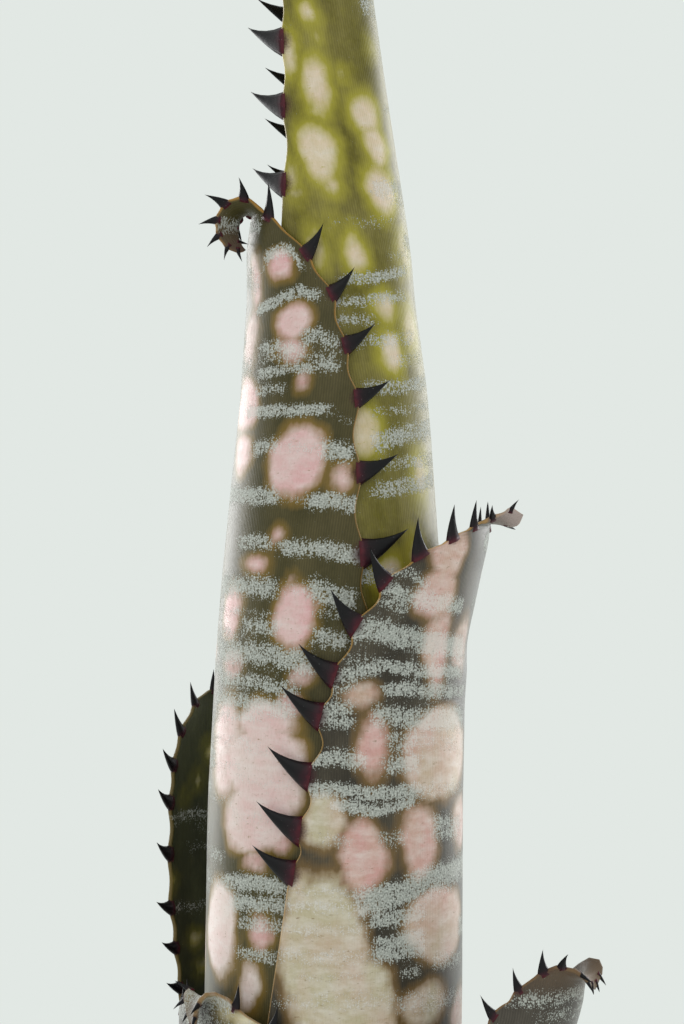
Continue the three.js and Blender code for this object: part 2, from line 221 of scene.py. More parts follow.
# %% The roll that the leaves share
LEAF_FOOT = 92.35  # height at which every leaf starts
LAYER = 1.6  # from one leaf's roll to the next
RING_PITCH = 8  # cross-sections stand no further apart than this
LEAF_THICKNESS = 0.9

# Height, how far the roll's axis stands to the right, and its radius.
CORE = np.array([
    (LEAF_FOOT, 0, 7.2), (105, -0.5, 11.2), (120, -1.2, 14.8), (140, -1.8, 17.8), (165, -2.3, 19.6),
    (200, -2.35, 20.3), (235, -2.0, 20.1), (262, -1.0, 19.6), (275, -1.1, 18.5), (290, -0.9, 17.2),
    (307, -0.6, 15.7), (325, -1.2, 13.9), (334, -1.6, 13.5), (343, -1.7, 12.3), (361, -3.1, 10.9),
    (379, -4.45, 9.7), (400, -5.7, 8.3), (413, -6.3, 7.8),
])

# %% [markdown]
# Past the last row of its tube table a leaf bends outwards as a free tongue. Its rows are out,
# sideways, up, roll radius, half width and twist. The spines are listed down each margin from the
# tip: the distance, and the length of the spine there.

# %% The seven leaves
LEAVES = {
    "leaf_heart": {
        "facing": 170,
        "layer": -1,
        "tube": [
            (LEAF_FOOT, 150, 0, 0), (110, 150, 0, -2.5), (140, 150, 0, -7), (200, 150, 0, -11),
            (260, 148, 0, -11.5), (290, 140, 0, -10), (305, 110, 0, -9), (312, 70, 0, -8.5),
            (316, 35, 0, -8.5),
        ],
        "tongue": [(0.3, 0, 2.5, 5, 1.8, 0), (1, 0, 5, 5, 0, 0)],
        "left": [(6, 2.5), (13, 3)],
        "right": [(9, 2.5), (16, 3)],
    },
    "leaf_tall": {
        "facing": -10,
        "layer": 0,
        "tube": [
            (LEAF_FOOT, 150, 0, 0), (140, 118, 0, 0), (200, 112, 0, 0), (280, 114, 0, 0),
            (310, 118, 0, 0), (340, 124, 0, 0), (380, 122, 0, 0), (392, 112, 0, 0), (400, 98, 0, 0),
            (406, 78, 0, 0), (410, 55, 0, 0), (413, 30, 0, 0),
        ],
        "tongue": [
            (0.8, 0, 2.2, 8, 3.2, 0), (2.6, 0, 3.8, 8, 3.0, 0), (5.0, 0, 4.2, 8, 2.6, 0),
            (7.2, 0, 3.2, 8, 1.5, 0), (8.6, 0, 1.6, 8, 0, 0),
        ],
        "left": [
            (2, 1.8), (5, 2.4), (9, 3.4), (16, 5), (25, 6.5), (36, 7.5), (48, 8.2), (60, 8.3),
            (71.5, 8), (85.5, 8),
        ],
        "right": [
            (3, 1.8), (6.5, 2.6), (12, 4), (20, 5.6), (30, 7), (41, 7.6), (53, 8), (65, 7),
            (74.5, 7.5), (83, 7.5),
        ],
    },
    "leaf_left": {
        "facing": 198,
        "layer": 1,
        "tube": [
            (LEAF_FOOT, 150, 0, 0), (140, 112, 0, 0), (200, 98, 0, 0), (260, 90, 0, 0),
            (284, 86, 0, 0), (307, 84, 0, 0), (316, 79, 0, 0), (325, 72, 0, 0), (330.5, 60, 0, 0),
            (334, 51, 0, 0), (337, 39, 0, 0), (338.8, 28, 0, 0), (340, 17, 0, 0),
        ],
        "tongue": [
            (1.1, 0, 0.8, 12, 3.4, 12), (2.7, 0, 0.8, 9, 3.5, 34), (4.1, 0, 0, 8, 3.4, 52),
            (5.0, 0, -1.4, 7, 3.1, 62), (5.1, 0, -3.2, 6, 2.6, 68), (4.3, 0, -4.9, 6, 1.9, 68),
            (3.1, 0, -5.9, 6, 1.1, 68), (1.9, 0, -6.2, 6, 0, 68),
        ],
        "left": [
            (2, 1.6), (4.2, 2), (6.6, 2.4), (9.4, 2.8), (13, 3.4), (20, 5), (30, 5.6), (42, 6),
            (55, 6), (68, 6), (80, 5.6),
        ],
        "right": [
            (1.8, 1.6), (4.2, 2), (7, 2.4), (10, 2.8), (13.5, 3.4), (17.5, 3.4), (23.8, 5.2),
            (35.5, 5.2), (44, 5.2), (53.5, 5.6), (63, 5.8), (76, 6.8), (90, 8.2), (101.5, 5),
        ],
    },
    "leaf_right": {
        "facing": 342,
        "layer": 2,
        "tube": [
            (LEAF_FOOT, 150, 0, 0), (140, 118, 0, 0), (195, 100, 0, 0), (217, 92, 0, 0),
            (235, 86, 0, 0), (253, 79.5, 0, 0), (264, 71.5, 0.4, 0.1), (271.3, 64.3, 2.0, 0.7),
            (276.5, 57, 3.3, 1.0), (280, 46, 4.3, 1.1), (282.2, 34, 4.8, 1.2),
            (283.8, 23, 5.1, 1.2), (285, 12, 5.3, 1.2),
        ],
        "tongue": [
            (0.6, 0, 0.4, 12, 2.5, 0), (1.9, 0, 0.6, 8, 2.0, -15), (3.7, 0, 0.9, 6, 2.2, -40),
            (5.6, 0, 1.3, 6, 1.9, -60), (7.2, 0, 1.7, 6, 0, -62),
        ],
        "left": [
            (2.5, 1.8), (6.5, 2.6), (11, 4), (17.5, 5), (25, 5.6), (33, 5.6), (42, 6.4),
            (51.5, 6.8), (59, 7.2), (69.5, 7.4), (79, 7.6), (86.5, 7.4),
        ],
        "right": [
            (5, 2.2), (12, 4), (20, 5.4), (30, 6.4), (40, 7), (51, 7.2), (62, 7.4), (73, 7),
        ],
    },
    "leaf_back_left": {
        "facing": 115,
        "layer": 3,
        "tube": [
            (LEAF_FOOT, 150, 0, 0), (110, 116, 0, 0), (130, 76, 0, 0), (150, 55, 0.1, 0.3),
            (165, 46, 0.2, 1.2), (180, 42, 0.3, 3.0), (197, 41, 0.4, 5.0), (217, 44, 0.6, 6.8),
            (233, 43.5, 1.2, 6.8), (241, 41.5, 1.6, 6.8), (245.5, 38, 2.0, 6.8),
            (249.5, 32, 2.4, 6.8), (253, 24, 2.8, 6.8),
        ],
        "tongue": [
            (0.8, 0, 1.8, 14, 6.0, 0), (2.2, 0, 3.4, 10, 3.6, 0), (4.0, 0, 4.0, 8, 2.0, 0),
            (6.0, 0, 3.6, 8, 0, 0),
        ],
        "left": [(2, 1.5), (5, 2), (10, 3), (17, 4), (25, 4.6), (34, 5), (44, 5), (54, 4.5)],
        "right": [
            (2, 1.5), (5, 2), (9.5, 2.8), (14.5, 3.2), (20, 3.6), (27, 4.2), (34, 4.6),
            (41, 5), (50.5, 5.2), (60.5, 5), (68, 4.6), (75.5, 4.4),
        ],
    },
    "leaf_low_right": {
        "facing": 333,
        "layer": 5,
        "tube": [
            (LEAF_FOOT, 150, 0, 0), (110, 120, 0.3, 0), (130, 98, 1.5, 0), (150, 82, 4, -0.5),
            (165, 74, 9, -3.6), (180, 64, 18, -8),
        ],
        "tongue": [
            (4.4, 0, 9.5, 17, 20.4, 0), (7.0, 0, 15, 16, 19, 0), (8.6, 0, 19.4, 15, 17.8, 0),
            (9.5, 0, 22.6, 14, 16.4, 0), (9.9, 0, 25, 13, 14.4, 0), (10.3, 0, 26.8, 12, 11.8, 0),
            (11.0, 0, 27.9, 11, 8.8, 0), (12.0, 0, 27.8, 10, 5.4, 0), (12.8, 0, 26.8, 9, 2.6, 0),
            (13.2, 0, 25.6, 8, 0, 0),
        ],
        "left": [
            (1.5, 1.2), (3.5, 1.5), (6, 2), (10.6, 2.8), (14, 3.6), (19.2, 3.3), (25.5, 3.4),
            (33, 4.4), (43, 4.8), (53, 4.8),
        ],
        "right": [
            (1.5, 1.2), (3.5, 1.5), (26, 4), (35, 4.8), (45, 4.8),
        ],
    },
    "leaf_low_left": {
        "facing": 218,
        "layer": 4,
        "tube": [
            (LEAF_FOOT, 150, 0, 0), (110, 112, 0, 0), (130, 80, 0, 0), (150, 60, 0, 0),
            (165, 53, 0, 0), (178, 49, 0.1, -0.1), (187, 45.5, 0.3, -0.3), (193, 41, 0.5, -0.5),
            (197, 35.5, 0.7, -0.7), (200, 28, 1.0, -1.0), (202, 18, 1.3, -1.3),
        ],
        "tongue": [
            (0.7, 0, 0.9, 10, 5.4, 4), (1.6, 0, 0.8, 8, 4.9, 14), (2.3, 0, -0.3, 8, 4.2, 20),
            (2.7, 0, -2.0, 8, 3.2, 24), (2.9, 0, -3.9, 8, 1.9, 24), (3.0, 0, -5.5, 8, 0, 24),
        ],
        "left": [
            (2.4, 1.6), (5, 2), (7.5, 2.4), (10, 2.4), (12.8, 2.4), (17, 2.4), (22, 2.4),
            (29, 3), (38, 4.4), (50, 4.6),
        ],
        "right": [
            (2.4, 1.6), (5, 2), (7.5, 2.4), (17, 3.6), (25, 4.2), (34, 4.6), (44, 4.8),
            (55, 4.6),
        ],
    },
}
print("leaves:", ", ".join(LEAVES))

# %% [markdown]
# The rows become one smooth curve against the distance along the midrib, and any point of the sheet
# follows from its distance along the leaf and its offset from the midrib. Inside the tube every
# cross-section is level, so that the rolled leaves nest without cutting into one another.

# %% From a table to a curved sheet
def table_at(table, height):
    """The table's other columns at a height between its rows."""
    return [np.interp(height, table[:, 0], table[:, column]) for column in range(1, table.shape[1])]


def cross_sections(leaf):
    """Rows of midrib x, y, z, roll radius, half width, twist, and 1 where the section is level."""
    facing = math.radians(leaf["facing"])
    out = (math.cos(facing), math.sin(facing))
    tube = np.array(leaf["tube"], float)
    rows = []
    for i in range(1, len(tube)):
        lower, upper = tube[i - 1, 0], tube[i, 0]
        steps = math.ceil((upper - lower) / RING_PITCH)
        for k in range(0 if i == 1 else 1, steps + 1):
            height = lower + (upper - lower) * k / steps
            wrap, lean, widen = table_at(tube, height)
            axis, core = table_at(CORE, height)
            roll = core + leaf["layer"] * LAYER + widen
            reach = lean + roll
            half = math.radians(wrap) * roll
            rows.append((axis + reach * out[0], reach * out[1], height, roll, half, 0, 1))
    x, y, z = rows[-1][:3]
    for away, side, up, roll, half, twist in leaf["tongue"]:
        px = x + away * out[0] - side * out[1]
        py = y + away * out[1] + side * out[0]
        rows.append((px, py, z + up, roll, half, math.radians(twist), 0))
    return np.array(rows, float)


def unit(vectors):
    return vectors / np.linalg.norm(vectors, axis=-1, keepdims=True)


class Blade:
    def __init__(self, leaf):
        facing = math.radians(leaf["facing"])
        self.across = np.array([-math.sin(facing), math.cos(facing), 0.0])
        self.rows = cross_sections(leaf)
        chords = np.linalg.norm(np.diff(self.rows[:, :3], axis=0), axis=1)
        self.knots = np.concatenate([[0.0], np.cumsum(chords)])
        self.length = self.knots[-1]
        index = np.arange(len(self.rows))
        low, high = np.maximum(index - 1, 0), np.minimum(index + 1, len(index) - 1)
        self.slopes = (self.rows[high] - self.rows[low]) / (self.knots[high] - self.knots[low])[:, None]

    def row(self, distance):
        """The row's values at distances along the leaf, on a smooth curve, and the curve's direction."""
        at = np.clip(np.searchsorted(self.knots, distance, side="right") - 1, 0, len(self.knots) - 2)
        span = (self.knots[at + 1] - self.knots[at])[:, None]
        t = (distance - self.knots[at])[:, None] / span
        a, b = self.rows[at], self.rows[at + 1]
        ma, mb = self.slopes[at] * span, self.slopes[at + 1] * span
        values = (2 * t**3 - 3 * t**2 + 1) * a + (t**3 - 2 * t**2 + t) * ma
        values += (3 * t**2 - 2 * t**3) * b + (t**3 - t**2) * mb
        rise = (6 * t**2 - 6 * t) * (a - b) + (3 * t**2 - 4 * t + 1) * ma + (3 * t**2 - 2 * t) * mb
        return values, rise

    def half(self, distance):
        return np.maximum(self.row(distance)[0][:, 4], 0)

    def at(self, distance, offset):
        """Points and outward normals, in millimetres, at distances along the leaf and offsets across it."""
        values, rise = self.row(distance)
        roll, twist = values[:, 3:4], values[:, 5:6]
        level = np.clip(values[:, 6:7], 0, 1)
        along = unit(unit(rise[:, :3]) * (1 - level) + np.array([0, 0, 1.0]) * level)
        across = unit(self.across - along * (along @ self.across)[:, None])
        across = across * np.cos(twist) + np.cross(along, across) * np.sin(twist)
        out = np.cross(across, along)
        angle = offset[:, None] / roll
        points = values[:, :3] + across * roll * np.sin(angle) - out * roll * (1 - np.cos(angle))
        return points, out * np.cos(angle) + across * np.sin(angle)


blades = {name: Blade(leaf) for name, leaf in LEAVES.items()}
for name, blade in blades.items():
    print(f"{name}: {blade.length:.0f} mm long, widest {2 * blade.rows[:, 4].max():.0f} mm")

# %% [markdown]
# ## The spines' places
# A margin carries a row of hooked spines, and between two spines it is scooped out. Walking down the
# margin from the tip gives the distance that the spine lists are written in, and with it the frame
# in which each spine stands: towards the tip, and outwards from the edge.

# %% Walk the margins
SIDES = {"left": -1, "right": 1}


def walk(blade, side, steps=900):
    """Distances along the leaf, and the way walked down one margin from the tip to each."""
    distance = blade.length * (1 - np.arange(steps + 1) / steps)
    points, _ = blade.at(distance, side * blade.half(distance))
    walked = np.concatenate([[0.0], np.cumsum(np.linalg.norm(np.diff(points, axis=0), axis=1))])
    return distance, walked


def spine_frames(blade, side, spines):
    """For each spine: its foot on the margin, the way to the leaf's tip, and outwards."""
    distance, walked = walk(blade, side)
    frames = []
    for down, length in spines:
        here = np.interp([down - 0.4, down, down + 0.4], walked, distance)
        points, normals = blade.at(here, side * blade.half(here))
        towards_tip = unit(points[0] - points[2])
        outwards = unit(np.cross(normals[1], towards_tip) * -side)
        frames.append((Vector(points[1]), Vector(towards_tip), Vector(outwards), length))
    return frames


spine_count = sum(len(leaf["left"]) + len(leaf["right"]) for leaf in LEAVES.values())
print("spines:", spine_count)

# %% [markdown]
# ## One spine
# A real spine is a flat, hooked horn. Its upper edge stands almost square to the leaf and is slightly
# hollow, its lower edge runs back down the margin in a long slope, and the point leans to the tip.
# One horn is raised from a ring of eight points, station by station, and every spine is a copy of it.

# %% Raise a horn from a ring
HORN_STATIONS = (0.0, 0.12, 0.3, 0.5, 0.7, 0.87, 1.0)  # shares of the way from foot to point
HORN_SIDES = 8
HORN_FOOT = 0.36  # half the foot's length along the margin, as a share of the spine's length
HORN_LEAN = 0.5  # how far the point leans to the leaf's tip
HORN_HALF_THICKNESS = 0.8 * MM  # at the foot
HORN_SUNK = 1.0 * MM  # how much of the foot lies inside the blade
POINT_SIZE = 1e-4  # a ring this small is merged into a point


def horn_section(share):
    """Shift towards the tip, half length and half thickness of the horn at a share of its height."""
    return HORN_LEAN * share**1.6, HORN_FOOT * (1 - share) ** 1.15, (1 - share) ** 0.75


def make_horn():
    """A horn one unit tall along Y, its foot along X and one unit of half thickness along Z."""
    bm = bmesh.new()
    height = bm.verts.layers.float.new("horn")
    ring = bmesh.ops.create_circle(bm, segments=HORN_SIDES, radius=1.0)["verts"]
    bmesh.ops.rotate(bm, verts=ring, cent=(0, 0, 0), matrix=Matrix.Rotation(math.pi / 2, 3, "X"))
    bmesh.ops.scale(bm, verts=ring, vec=(HORN_FOOT, 1, 1))
    edges = list(bm.edges)
    bm.faces.new(ring)
    for last, share in zip(HORN_STATIONS, HORN_STATIONS[1:]):
        grown = bmesh.ops.extrude_edge_only(bm, edges=edges)["geom"]
        ring = [piece for piece in grown if isinstance(piece, bmesh.types.BMVert)]
        edges = [
            piece for piece in grown
            if isinstance(piece, bmesh.types.BMEdge) and all(vert in ring for vert in piece.verts)
        ]
        old, new = horn_section(last), horn_section(share)
        ratio = (max(new[1], POINT_SIZE) / old[1], 1, max(new[2], POINT_SIZE) / old[2])
        bmesh.ops.scale(bm, verts=ring, vec=ratio, space=Matrix.Translation((-old[0], 0, 0)))
        bmesh.ops.translate(bm, verts=ring, vec=(new[0] - old[0], share - last, 0))
        for vert in ring:
            vert[height] = share
    bmesh.ops.remove_doubles(bm, verts=bm.verts, dist=3 * POINT_SIZE)
    bmesh.ops.recalc_face_normals(bm, faces=bm.faces)
    return mesh_from(bm, "horn")


horn = make_horn()
print("one horn:", len(horn.vertices), "points,", len(horn.polygons), "faces")

# %% [markdown]
# ## Marks on the leaves
# Two kinds of mark make this plant. Spots are pale windows in the green, round to oval, with a soft
# yellowish rim. Bands are rows of silver scales that lie on top of the skin. On the leaves that show
# most, each mark is placed by where it shows in the picture: a spot is the pixel of its
# centre, its half width and half height, its strength and, where it is not the usual, how pink it is,
# and a band is a line of pixels, half its thickness and its strength.

# %% Spots and bands, placed one by one
SPOTS = {
    "leaf_tall": [
        (307, 13, 7, 11, 1), (289, 52, 7, 18, 0.9), (317, 85, 14, 25, 1), (320, 152, 17, 29, 1),
        (330, 184, 7, 10, 0.9), (291, 176, 6, 13, 0.7), (297, 195, 7, 9, 0.5), (366, 116, 11, 20, 1),
        (375, 145, 8, 16, 1), (380, 190, 13, 27, 1), (343, 77, 3, 5, 0.6), (314, 38, 4, 6, 0.6),
        (367, 48, 3, 8, 0.5), (355, 251, 9, 16, 1), (330, 227, 4, 8, 0.5), (316, 250, 7, 16, 0.8),
        (383, 308, 9, 13, 0.9), (388, 352, 11, 20, 1), (363, 432, 15, 24, 0.85), (418, 478, 6, 22, 0.7),
        (400, 250, 5, 18, 0.5), (408, 330, 6, 24, 0.6),
    ],
    "leaf_left": [
        (282, 267, 12, 14, 1), (293, 322, 15, 21, 1), (290, 350, 15, 13, 0.85), (303, 378, 9, 10, 0.75),
        (258, 285, 5, 28, 0.7), (253, 340, 6, 30, 0.6), (248, 403, 7, 30, 0.85), (245, 455, 7, 17, 0.9),
        (297, 462, 28, 38, 1), (340, 480, 8, 14, 0.9), (277, 536, 6, 9, 0.85), (257, 566, 11, 10, 0.9),
        (297, 573, 6, 6, 0.6), (297, 615, 21, 34, 1), (235, 612, 9, 26, 0.8), (234, 665, 9, 20, 0.6),
        (303, 672, 12, 14, 0.7), (265, 722, 28, 20, 0.95, 0.4), (262, 765, 38, 40, 1, 0.35),
        (292, 705, 13, 15, 0.8), (255, 815, 33, 36, 1, 0.35), (285, 790, 20, 33, 0.9, 0.4),
        (228, 745, 12, 52, 0.85, 0.4), (282, 838, 13, 16, 0.8), (222, 927, 12, 48, 1, 0.1),
        (255, 862, 11, 12, 0.75), (262, 934, 8, 16, 0.85), (250, 982, 11, 24, 0.95, 0.1),
    ],
    "leaf_right": [
        (450, 548, 17, 32, 1), (435, 592, 19, 27, 1), (434, 645, 11, 46, 0.9),
        (362, 694, 18, 15, 0.85, 0.7), (371, 747, 16, 32, 1, 0.85), (440, 755, 26, 46, 1, 0.45),
        (322, 822, 20, 26, 1, 0.15), (363, 856, 25, 36, 1, 0.9), (418, 840, 17, 36, 1, 0.8),
        (457, 820, 7, 30, 0.85), (438, 922, 22, 38, 1, 0.5), (424, 1004, 20, 24, 0.9, 0.3),
        (322, 955, 46, 78, 1, 0.1), (352, 1010, 48, 52, 1, 0.1), (300, 898, 16, 28, 0.9, 0.2),
        (456, 1012, 7, 24, 0.8), (350, 905, 22, 12, 0.8, 0.3), (458, 640, 6, 30, 0.7),
    ],
    "leaf_back_left": [(207, 747, 5, 8, 0.9), (193, 938, 6, 8, 0.9), (200, 968, 7, 9, 0.6)],
    "leaf_low_left": [(248, 1019, 20, 9, 1)],
}
BANDS = {
    "leaf_tall": [
        ([(335, 222), (395, 219)], 3, 0.5), ([(357, 225), (378, 226)], 5, 0.5),
        ([(343, 281), (370, 278), (402, 271)], 6, 0.9), ([(388, 257), (405, 254)], 5, 0.5),
        ([(330, 302), (365, 300), (402, 295)], 6, 0.8), ([(335, 319), (372, 320)], 6, 0.8),
        ([(350, 344), (380, 341), (410, 337)], 7, 0.7), ([(395, 360), (418, 357)], 6, 0.6),
        ([(366, 388), (400, 386), (425, 380)], 7, 0.85), ([(375, 410), (405, 408), (430, 402)], 6, 0.6),
        ([(374, 442), (400, 434), (430, 424)], 10, 0.85), ([(378, 466), (430, 458)], 7, 0.7),
        ([(374, 491), (405, 486), (430, 479)], 8, 0.9),
    ],
    "leaf_left": [
        ([(270, 257), (283, 249), (294, 252), (302, 266)], 6, 0.95),
        ([(258, 284), (264, 270), (272, 257)], 4, 0.6),
        ([(262, 311), (282, 299), (300, 292), (316, 295)], 6, 1),
        ([(262, 351), (278, 347), (295, 350)], 7, 0.8), ([(306, 338), (320, 337), (334, 345)], 10, 0.8),
        ([(262, 362), (290, 356), (335, 355)], 5, 0.7),
        ([(262, 376), (290, 369), (318, 366), (337, 368)], 6, 0.9), ([(260, 391), (284, 388)], 6, 0.75),
        ([(252, 412), (290, 410), (326, 411)], 6, 1), ([(326, 411), (348, 421)], 4, 0.5),
        ([(256, 448), (276, 446)], 8, 0.9), ([(276, 446), (326, 448)], 7, 0.4),
        ([(324, 449), (348, 452)], 11, 0.9), ([(232, 495), (276, 497)], 9, 0.95),
        ([(276, 499), (316, 499)], 7, 0.4), ([(312, 502), (332, 498), (354, 505)], 8, 1),
        ([(243, 543), (268, 543)], 7, 0.95), ([(268, 544), (287, 545)], 6, 0.5),
        ([(285, 547), (320, 549), (358, 556)], 8, 1), ([(222, 586), (250, 584), (276, 588)], 10, 0.95),
        ([(276, 588), (312, 589)], 8, 0.45), ([(312, 588), (330, 594), (350, 604)], 12, 0.95),
        ([(318, 613), (342, 615)], 5, 0.7), ([(316, 637), (346, 640)], 9, 0.9),
        ([(222, 608), (272, 613)], 4, 0.6), ([(246, 626), (276, 630)], 8, 0.85),
        ([(222, 630), (246, 632)], 5, 0.6), ([(222, 649), (270, 656), (312, 665)], 11, 0.95),
        ([(222, 677), (262, 682), (296, 690)], 8, 0.9), ([(220, 696), (265, 703), (292, 712)], 8, 0.9),
        ([(220, 714), (262, 718)], 5, 0.7), ([(212, 738), (250, 741)], 5, 0.5),
        ([(212, 764), (240, 766)], 5, 0.45), ([(210, 796), (232, 798)], 5, 0.45),
        ([(248, 750), (300, 754)], 5, 0.4), ([(240, 778), (290, 783)], 6, 0.35),
        ([(235, 815), (285, 818)], 6, 0.35), ([(228, 880), (262, 884), (286, 888)], 9, 1),
        ([(234, 902), (262, 904), (286, 906)], 9, 0.95), ([(244, 921), (284, 926)], 7, 0.85),
        ([(240, 953), (276, 957)], 7, 0.85), ([(208, 848), (224, 858)], 8, 0.7),
        ([(207, 872), (226, 882)], 8, 0.7),
    ],
    "leaf_right": [
        ([(392, 568), (408, 572), (424, 584)], 6, 0.8),
        ([(384, 584), (405, 596), (430, 603), (458, 606)], 8, 0.9), ([(376, 600), (404, 611)], 5, 0.7),
        ([(346, 630), (372, 627), (405, 640), (460, 650)], 11, 1), ([(345, 656), (380, 660)], 5, 0.7),
        ([(340, 674), (385, 666), (420, 669), (458, 671)], 7, 0.95), ([(333, 690), (352, 687)], 7, 0.7),
        ([(384, 689), (425, 691), (460, 690)], 7, 0.95), ([(312, 712), (350, 716)], 12, 0.9),
        ([(376, 716), (415, 718), (460, 716)], 11, 0.9), ([(308, 758), (340, 757), (360, 759)], 9, 0.9),
        ([(388, 742), (412, 742)], 10, 0.75), ([(386, 764), (412, 762)], 9, 0.9),
        ([(412, 740), (460, 745)], 9, 0.4), ([(304, 788), (340, 788), (372, 795), (414, 788)], 7, 1),
        ([(338, 804), (375, 812), (412, 802)], 6, 1), ([(420, 790), (458, 786)], 7, 0.55),
        ([(326, 840), (342, 842)], 6, 0.6), ([(382, 838), (400, 838)], 8, 0.65),
        ([(434, 828), (456, 826)], 12, 0.85), ([(360, 902), (395, 894), (425, 881), (460, 862)], 13, 1),
        ([(370, 920), (418, 914)], 8, 0.95), ([(377, 949), (420, 944)], 12, 1),
        ([(402, 974), (416, 972)], 6, 0.7), ([(434, 962), (458, 958)], 8, 0.7),
        ([(290, 888), (356, 894)], 5, 0.5), ([(288, 906), (356, 908)], 6, 0.5),
        ([(285, 930), (372, 928)], 6, 0.45), ([(280, 955), (376, 957)], 7, 0.5),
        ([(278, 1000), (330, 1001), (400, 998)], 8, 0.45), ([(400, 1002), (460, 994)], 9, 0.6),
        ([(300, 977), (362, 977)], 5, 0.35),
    ],
}
placed = sum(len(table) for kind in (SPOTS, BANDS) for table in kind.values())
print("marks placed by eye:", placed)

# %% [markdown]
# A place in the picture is carried back to the leaf by looking for the point of the leaf's outside,
# on the side that faces the camera, which shows closest to that pixel. The mark is then known by its
# place on the leaf itself: across, counted from the midrib round the roll, and height, in millimetres.

# %% From the picture to the leaf
EYE = np.array([0, -450, 287.2])  # where the camera stands, in millimetres
PICTURE_CENTRE = (342, 512)  # pixels
PICTURE_REACH = 2500  # pixels that a millimetre covers, times its distance from the camera
SEARCH_PITCH = 0.5  # millimetres


class Outline:
    """The part of a leaf's face that the camera sees, and where it shows."""

    def __init__(self, blade, face=1):
        widest = blade.rows[:, 4].max()
        along = np.arange(0, blade.length, SEARCH_PITCH)
        offsets = np.arange(-widest, widest, SEARCH_PITCH)
        distance, offset = (grid.ravel() for grid in np.meshgrid(along, offsets))
        inside = np.abs(offset) < blade.half(distance)
        points, normals = blade.at(distance[inside], offset[inside])
        facing = ((EYE - points) * normals).sum(axis=1) * face > 0
        points = points[facing]
        away = points[:, 1] - EYE[1]
        self.across, self.height = offset[inside][facing], points[:, 2]
        self.x = PICTURE_CENTRE[0] + PICTURE_REACH * points[:, 0] / away
        self.y = PICTURE_CENTRE[1] - PICTURE_REACH * (points[:, 2] - EYE[2]) / away
        self.pixel = np.median(away) / PICTURE_REACH  # millimetres to a pixel

    def place(self, x, y):
        nearest = np.argmin((self.x - x) ** 2 + (self.y - y) ** 2)
        return self.across[nearest], self.height[nearest]

    def spot(self, x, y, wide, tall, strength, pink=0.75):
        across, height = self.place(x, y)
        reach = abs(self.place(x + wide, y)[0] - self.place(x - wide, y)[0]) / 2
        return across, height, max(reach, wide * self.pixel), tall * self.pixel, strength, pink

    def band(self, line, thickness, strength):
        ends = sorted(self.place(x, y) for x, y in line)
        return ends, thickness * self.pixel, strength


SEEN_FACE = {"leaf_back_left": -1}  # this leaf shows its inside, the others their outside
outlines = {name: Outline(blades[name], SEEN_FACE.get(name, 1)) for name in SPOTS}
print("a pixel covers", round(outlines["leaf_left"].pixel, 3), "mm on the left leaf")

# %% [markdown]
# The rest of each leaf is marked in the same way by chance, with a fixed seed, so that the plant looks
# right from all sides. Each leaf says how many spots and bands it gets, how wide a spot is and how
# strong the marks are. A window of across and height is left to the listed marks.

# %% Scatter the rest of the marks
SCATTER = {  # spots, bands, size in millimetres, strength
    "leaf_heart": (24, 24, 2.2, 0.8),
    "leaf_tall": (75, 110, 2.6, 0.95),
    "leaf_left": (60, 130, 3.6, 0.95),
    "leaf_right": (55, 130, 4.2, 0.95),
    "leaf_back_left": (26, 14, 1.2, 0.7),
    "leaf_low_right": (10, 30, 1.8, 0.6),
    "leaf_low_left": (12, 26, 2.2, 0.8),
}
PLACED_WINDOWS = {
    "leaf_tall": (-26, 3, 286, 384),
    "leaf_left": (-7, 33, 200, 345),
    "leaf_right": (-42, 9, 196, 292),
}
WITHIN_MARGIN = 0.96  # how far out a mark's middle may lie, as a share of the half width


def free_place(chance, name):
    """A place on the leaf by chance, outside the window of the listed marks."""
    rows, window = blades[name].rows, PLACED_WINDOWS.get(name)
    while True:
        row = rows[chance.randrange(len(rows) - 4)]
        across = chance.uniform(-WITHIN_MARGIN, WITHIN_MARGIN) * row[4]
        height = row[2] + chance.uniform(-RING_PITCH / 2, RING_PITCH / 2)
        if window is None or not (window[0] < across < window[1] and window[2] < height < window[3]):
            return across, height


def scattered(name, seed):
    """Spots and bands for the parts of a leaf that have none placed by eye."""
    chance = random.Random(seed)
    spot_count, band_count, size, strength = SCATTER[name]
    spots, bands = [], []
    for _ in range(spot_count):
        across, height = free_place(chance, name)
        wide = size * chance.uniform(0.5, 1.3)
        tall = wide * chance.uniform(1.1, 2.0)
        clear, pink = strength * chance.uniform(0.7, 1), chance.uniform(0.2, 1)
        spots.append((across, height, wide, tall, clear, pink))
    for _ in range(band_count):
        across, height = free_place(chance, name)
        reach = chance.uniform(5, 13)
        ends = [(across - reach, height + chance.uniform(-1, 1)), (across, height)]
        ends.append((across + reach, height + chance.uniform(-1, 1)))
        bands.append((ends, chance.uniform(0.7, 1.8), strength * chance.uniform(0.6, 1)))
    return spots, bands


marks = {}
for seed, name in enumerate(LEAVES, FIRST_SEED):
    spots, bands = scattered(name, seed)
    spots += [outlines[name].spot(*spot) for spot in SPOTS.get(name, [])]
    bands += [outlines[name].band(*band) for band in BANDS.get(name, [])]
    marks[name] = (spots, bands)
print("marks in all:", sum(len(spots) + len(bands) for spots, bands in marks.values()))

# %% [markdown]
# The marks are worked out at every point of a leaf's mesh as soft fields and kept there as attributes:
# the spots, the glow round them, how pink they are, and the bands. Real spots are never true ovals, so
# the place where a spot is looked up wanders a little, in wide swings and in small ones. The shader
# cuts its edges from the fields later with fine noise, so an edge can be sharper than the mesh is dense.

# %% Fields from marks
SPOT_EDGE = 2.4  # millimetres over which a spot's field falls from 1 to 0, with 0.5 at its edge
GLOW_REACH = 2.4  # millimetres outside a spot where its glow has died out
SWINGS = ((8.0, 1.3), (2.8, 0.6))  # how wide and how far the look-up wanders, in millimetres


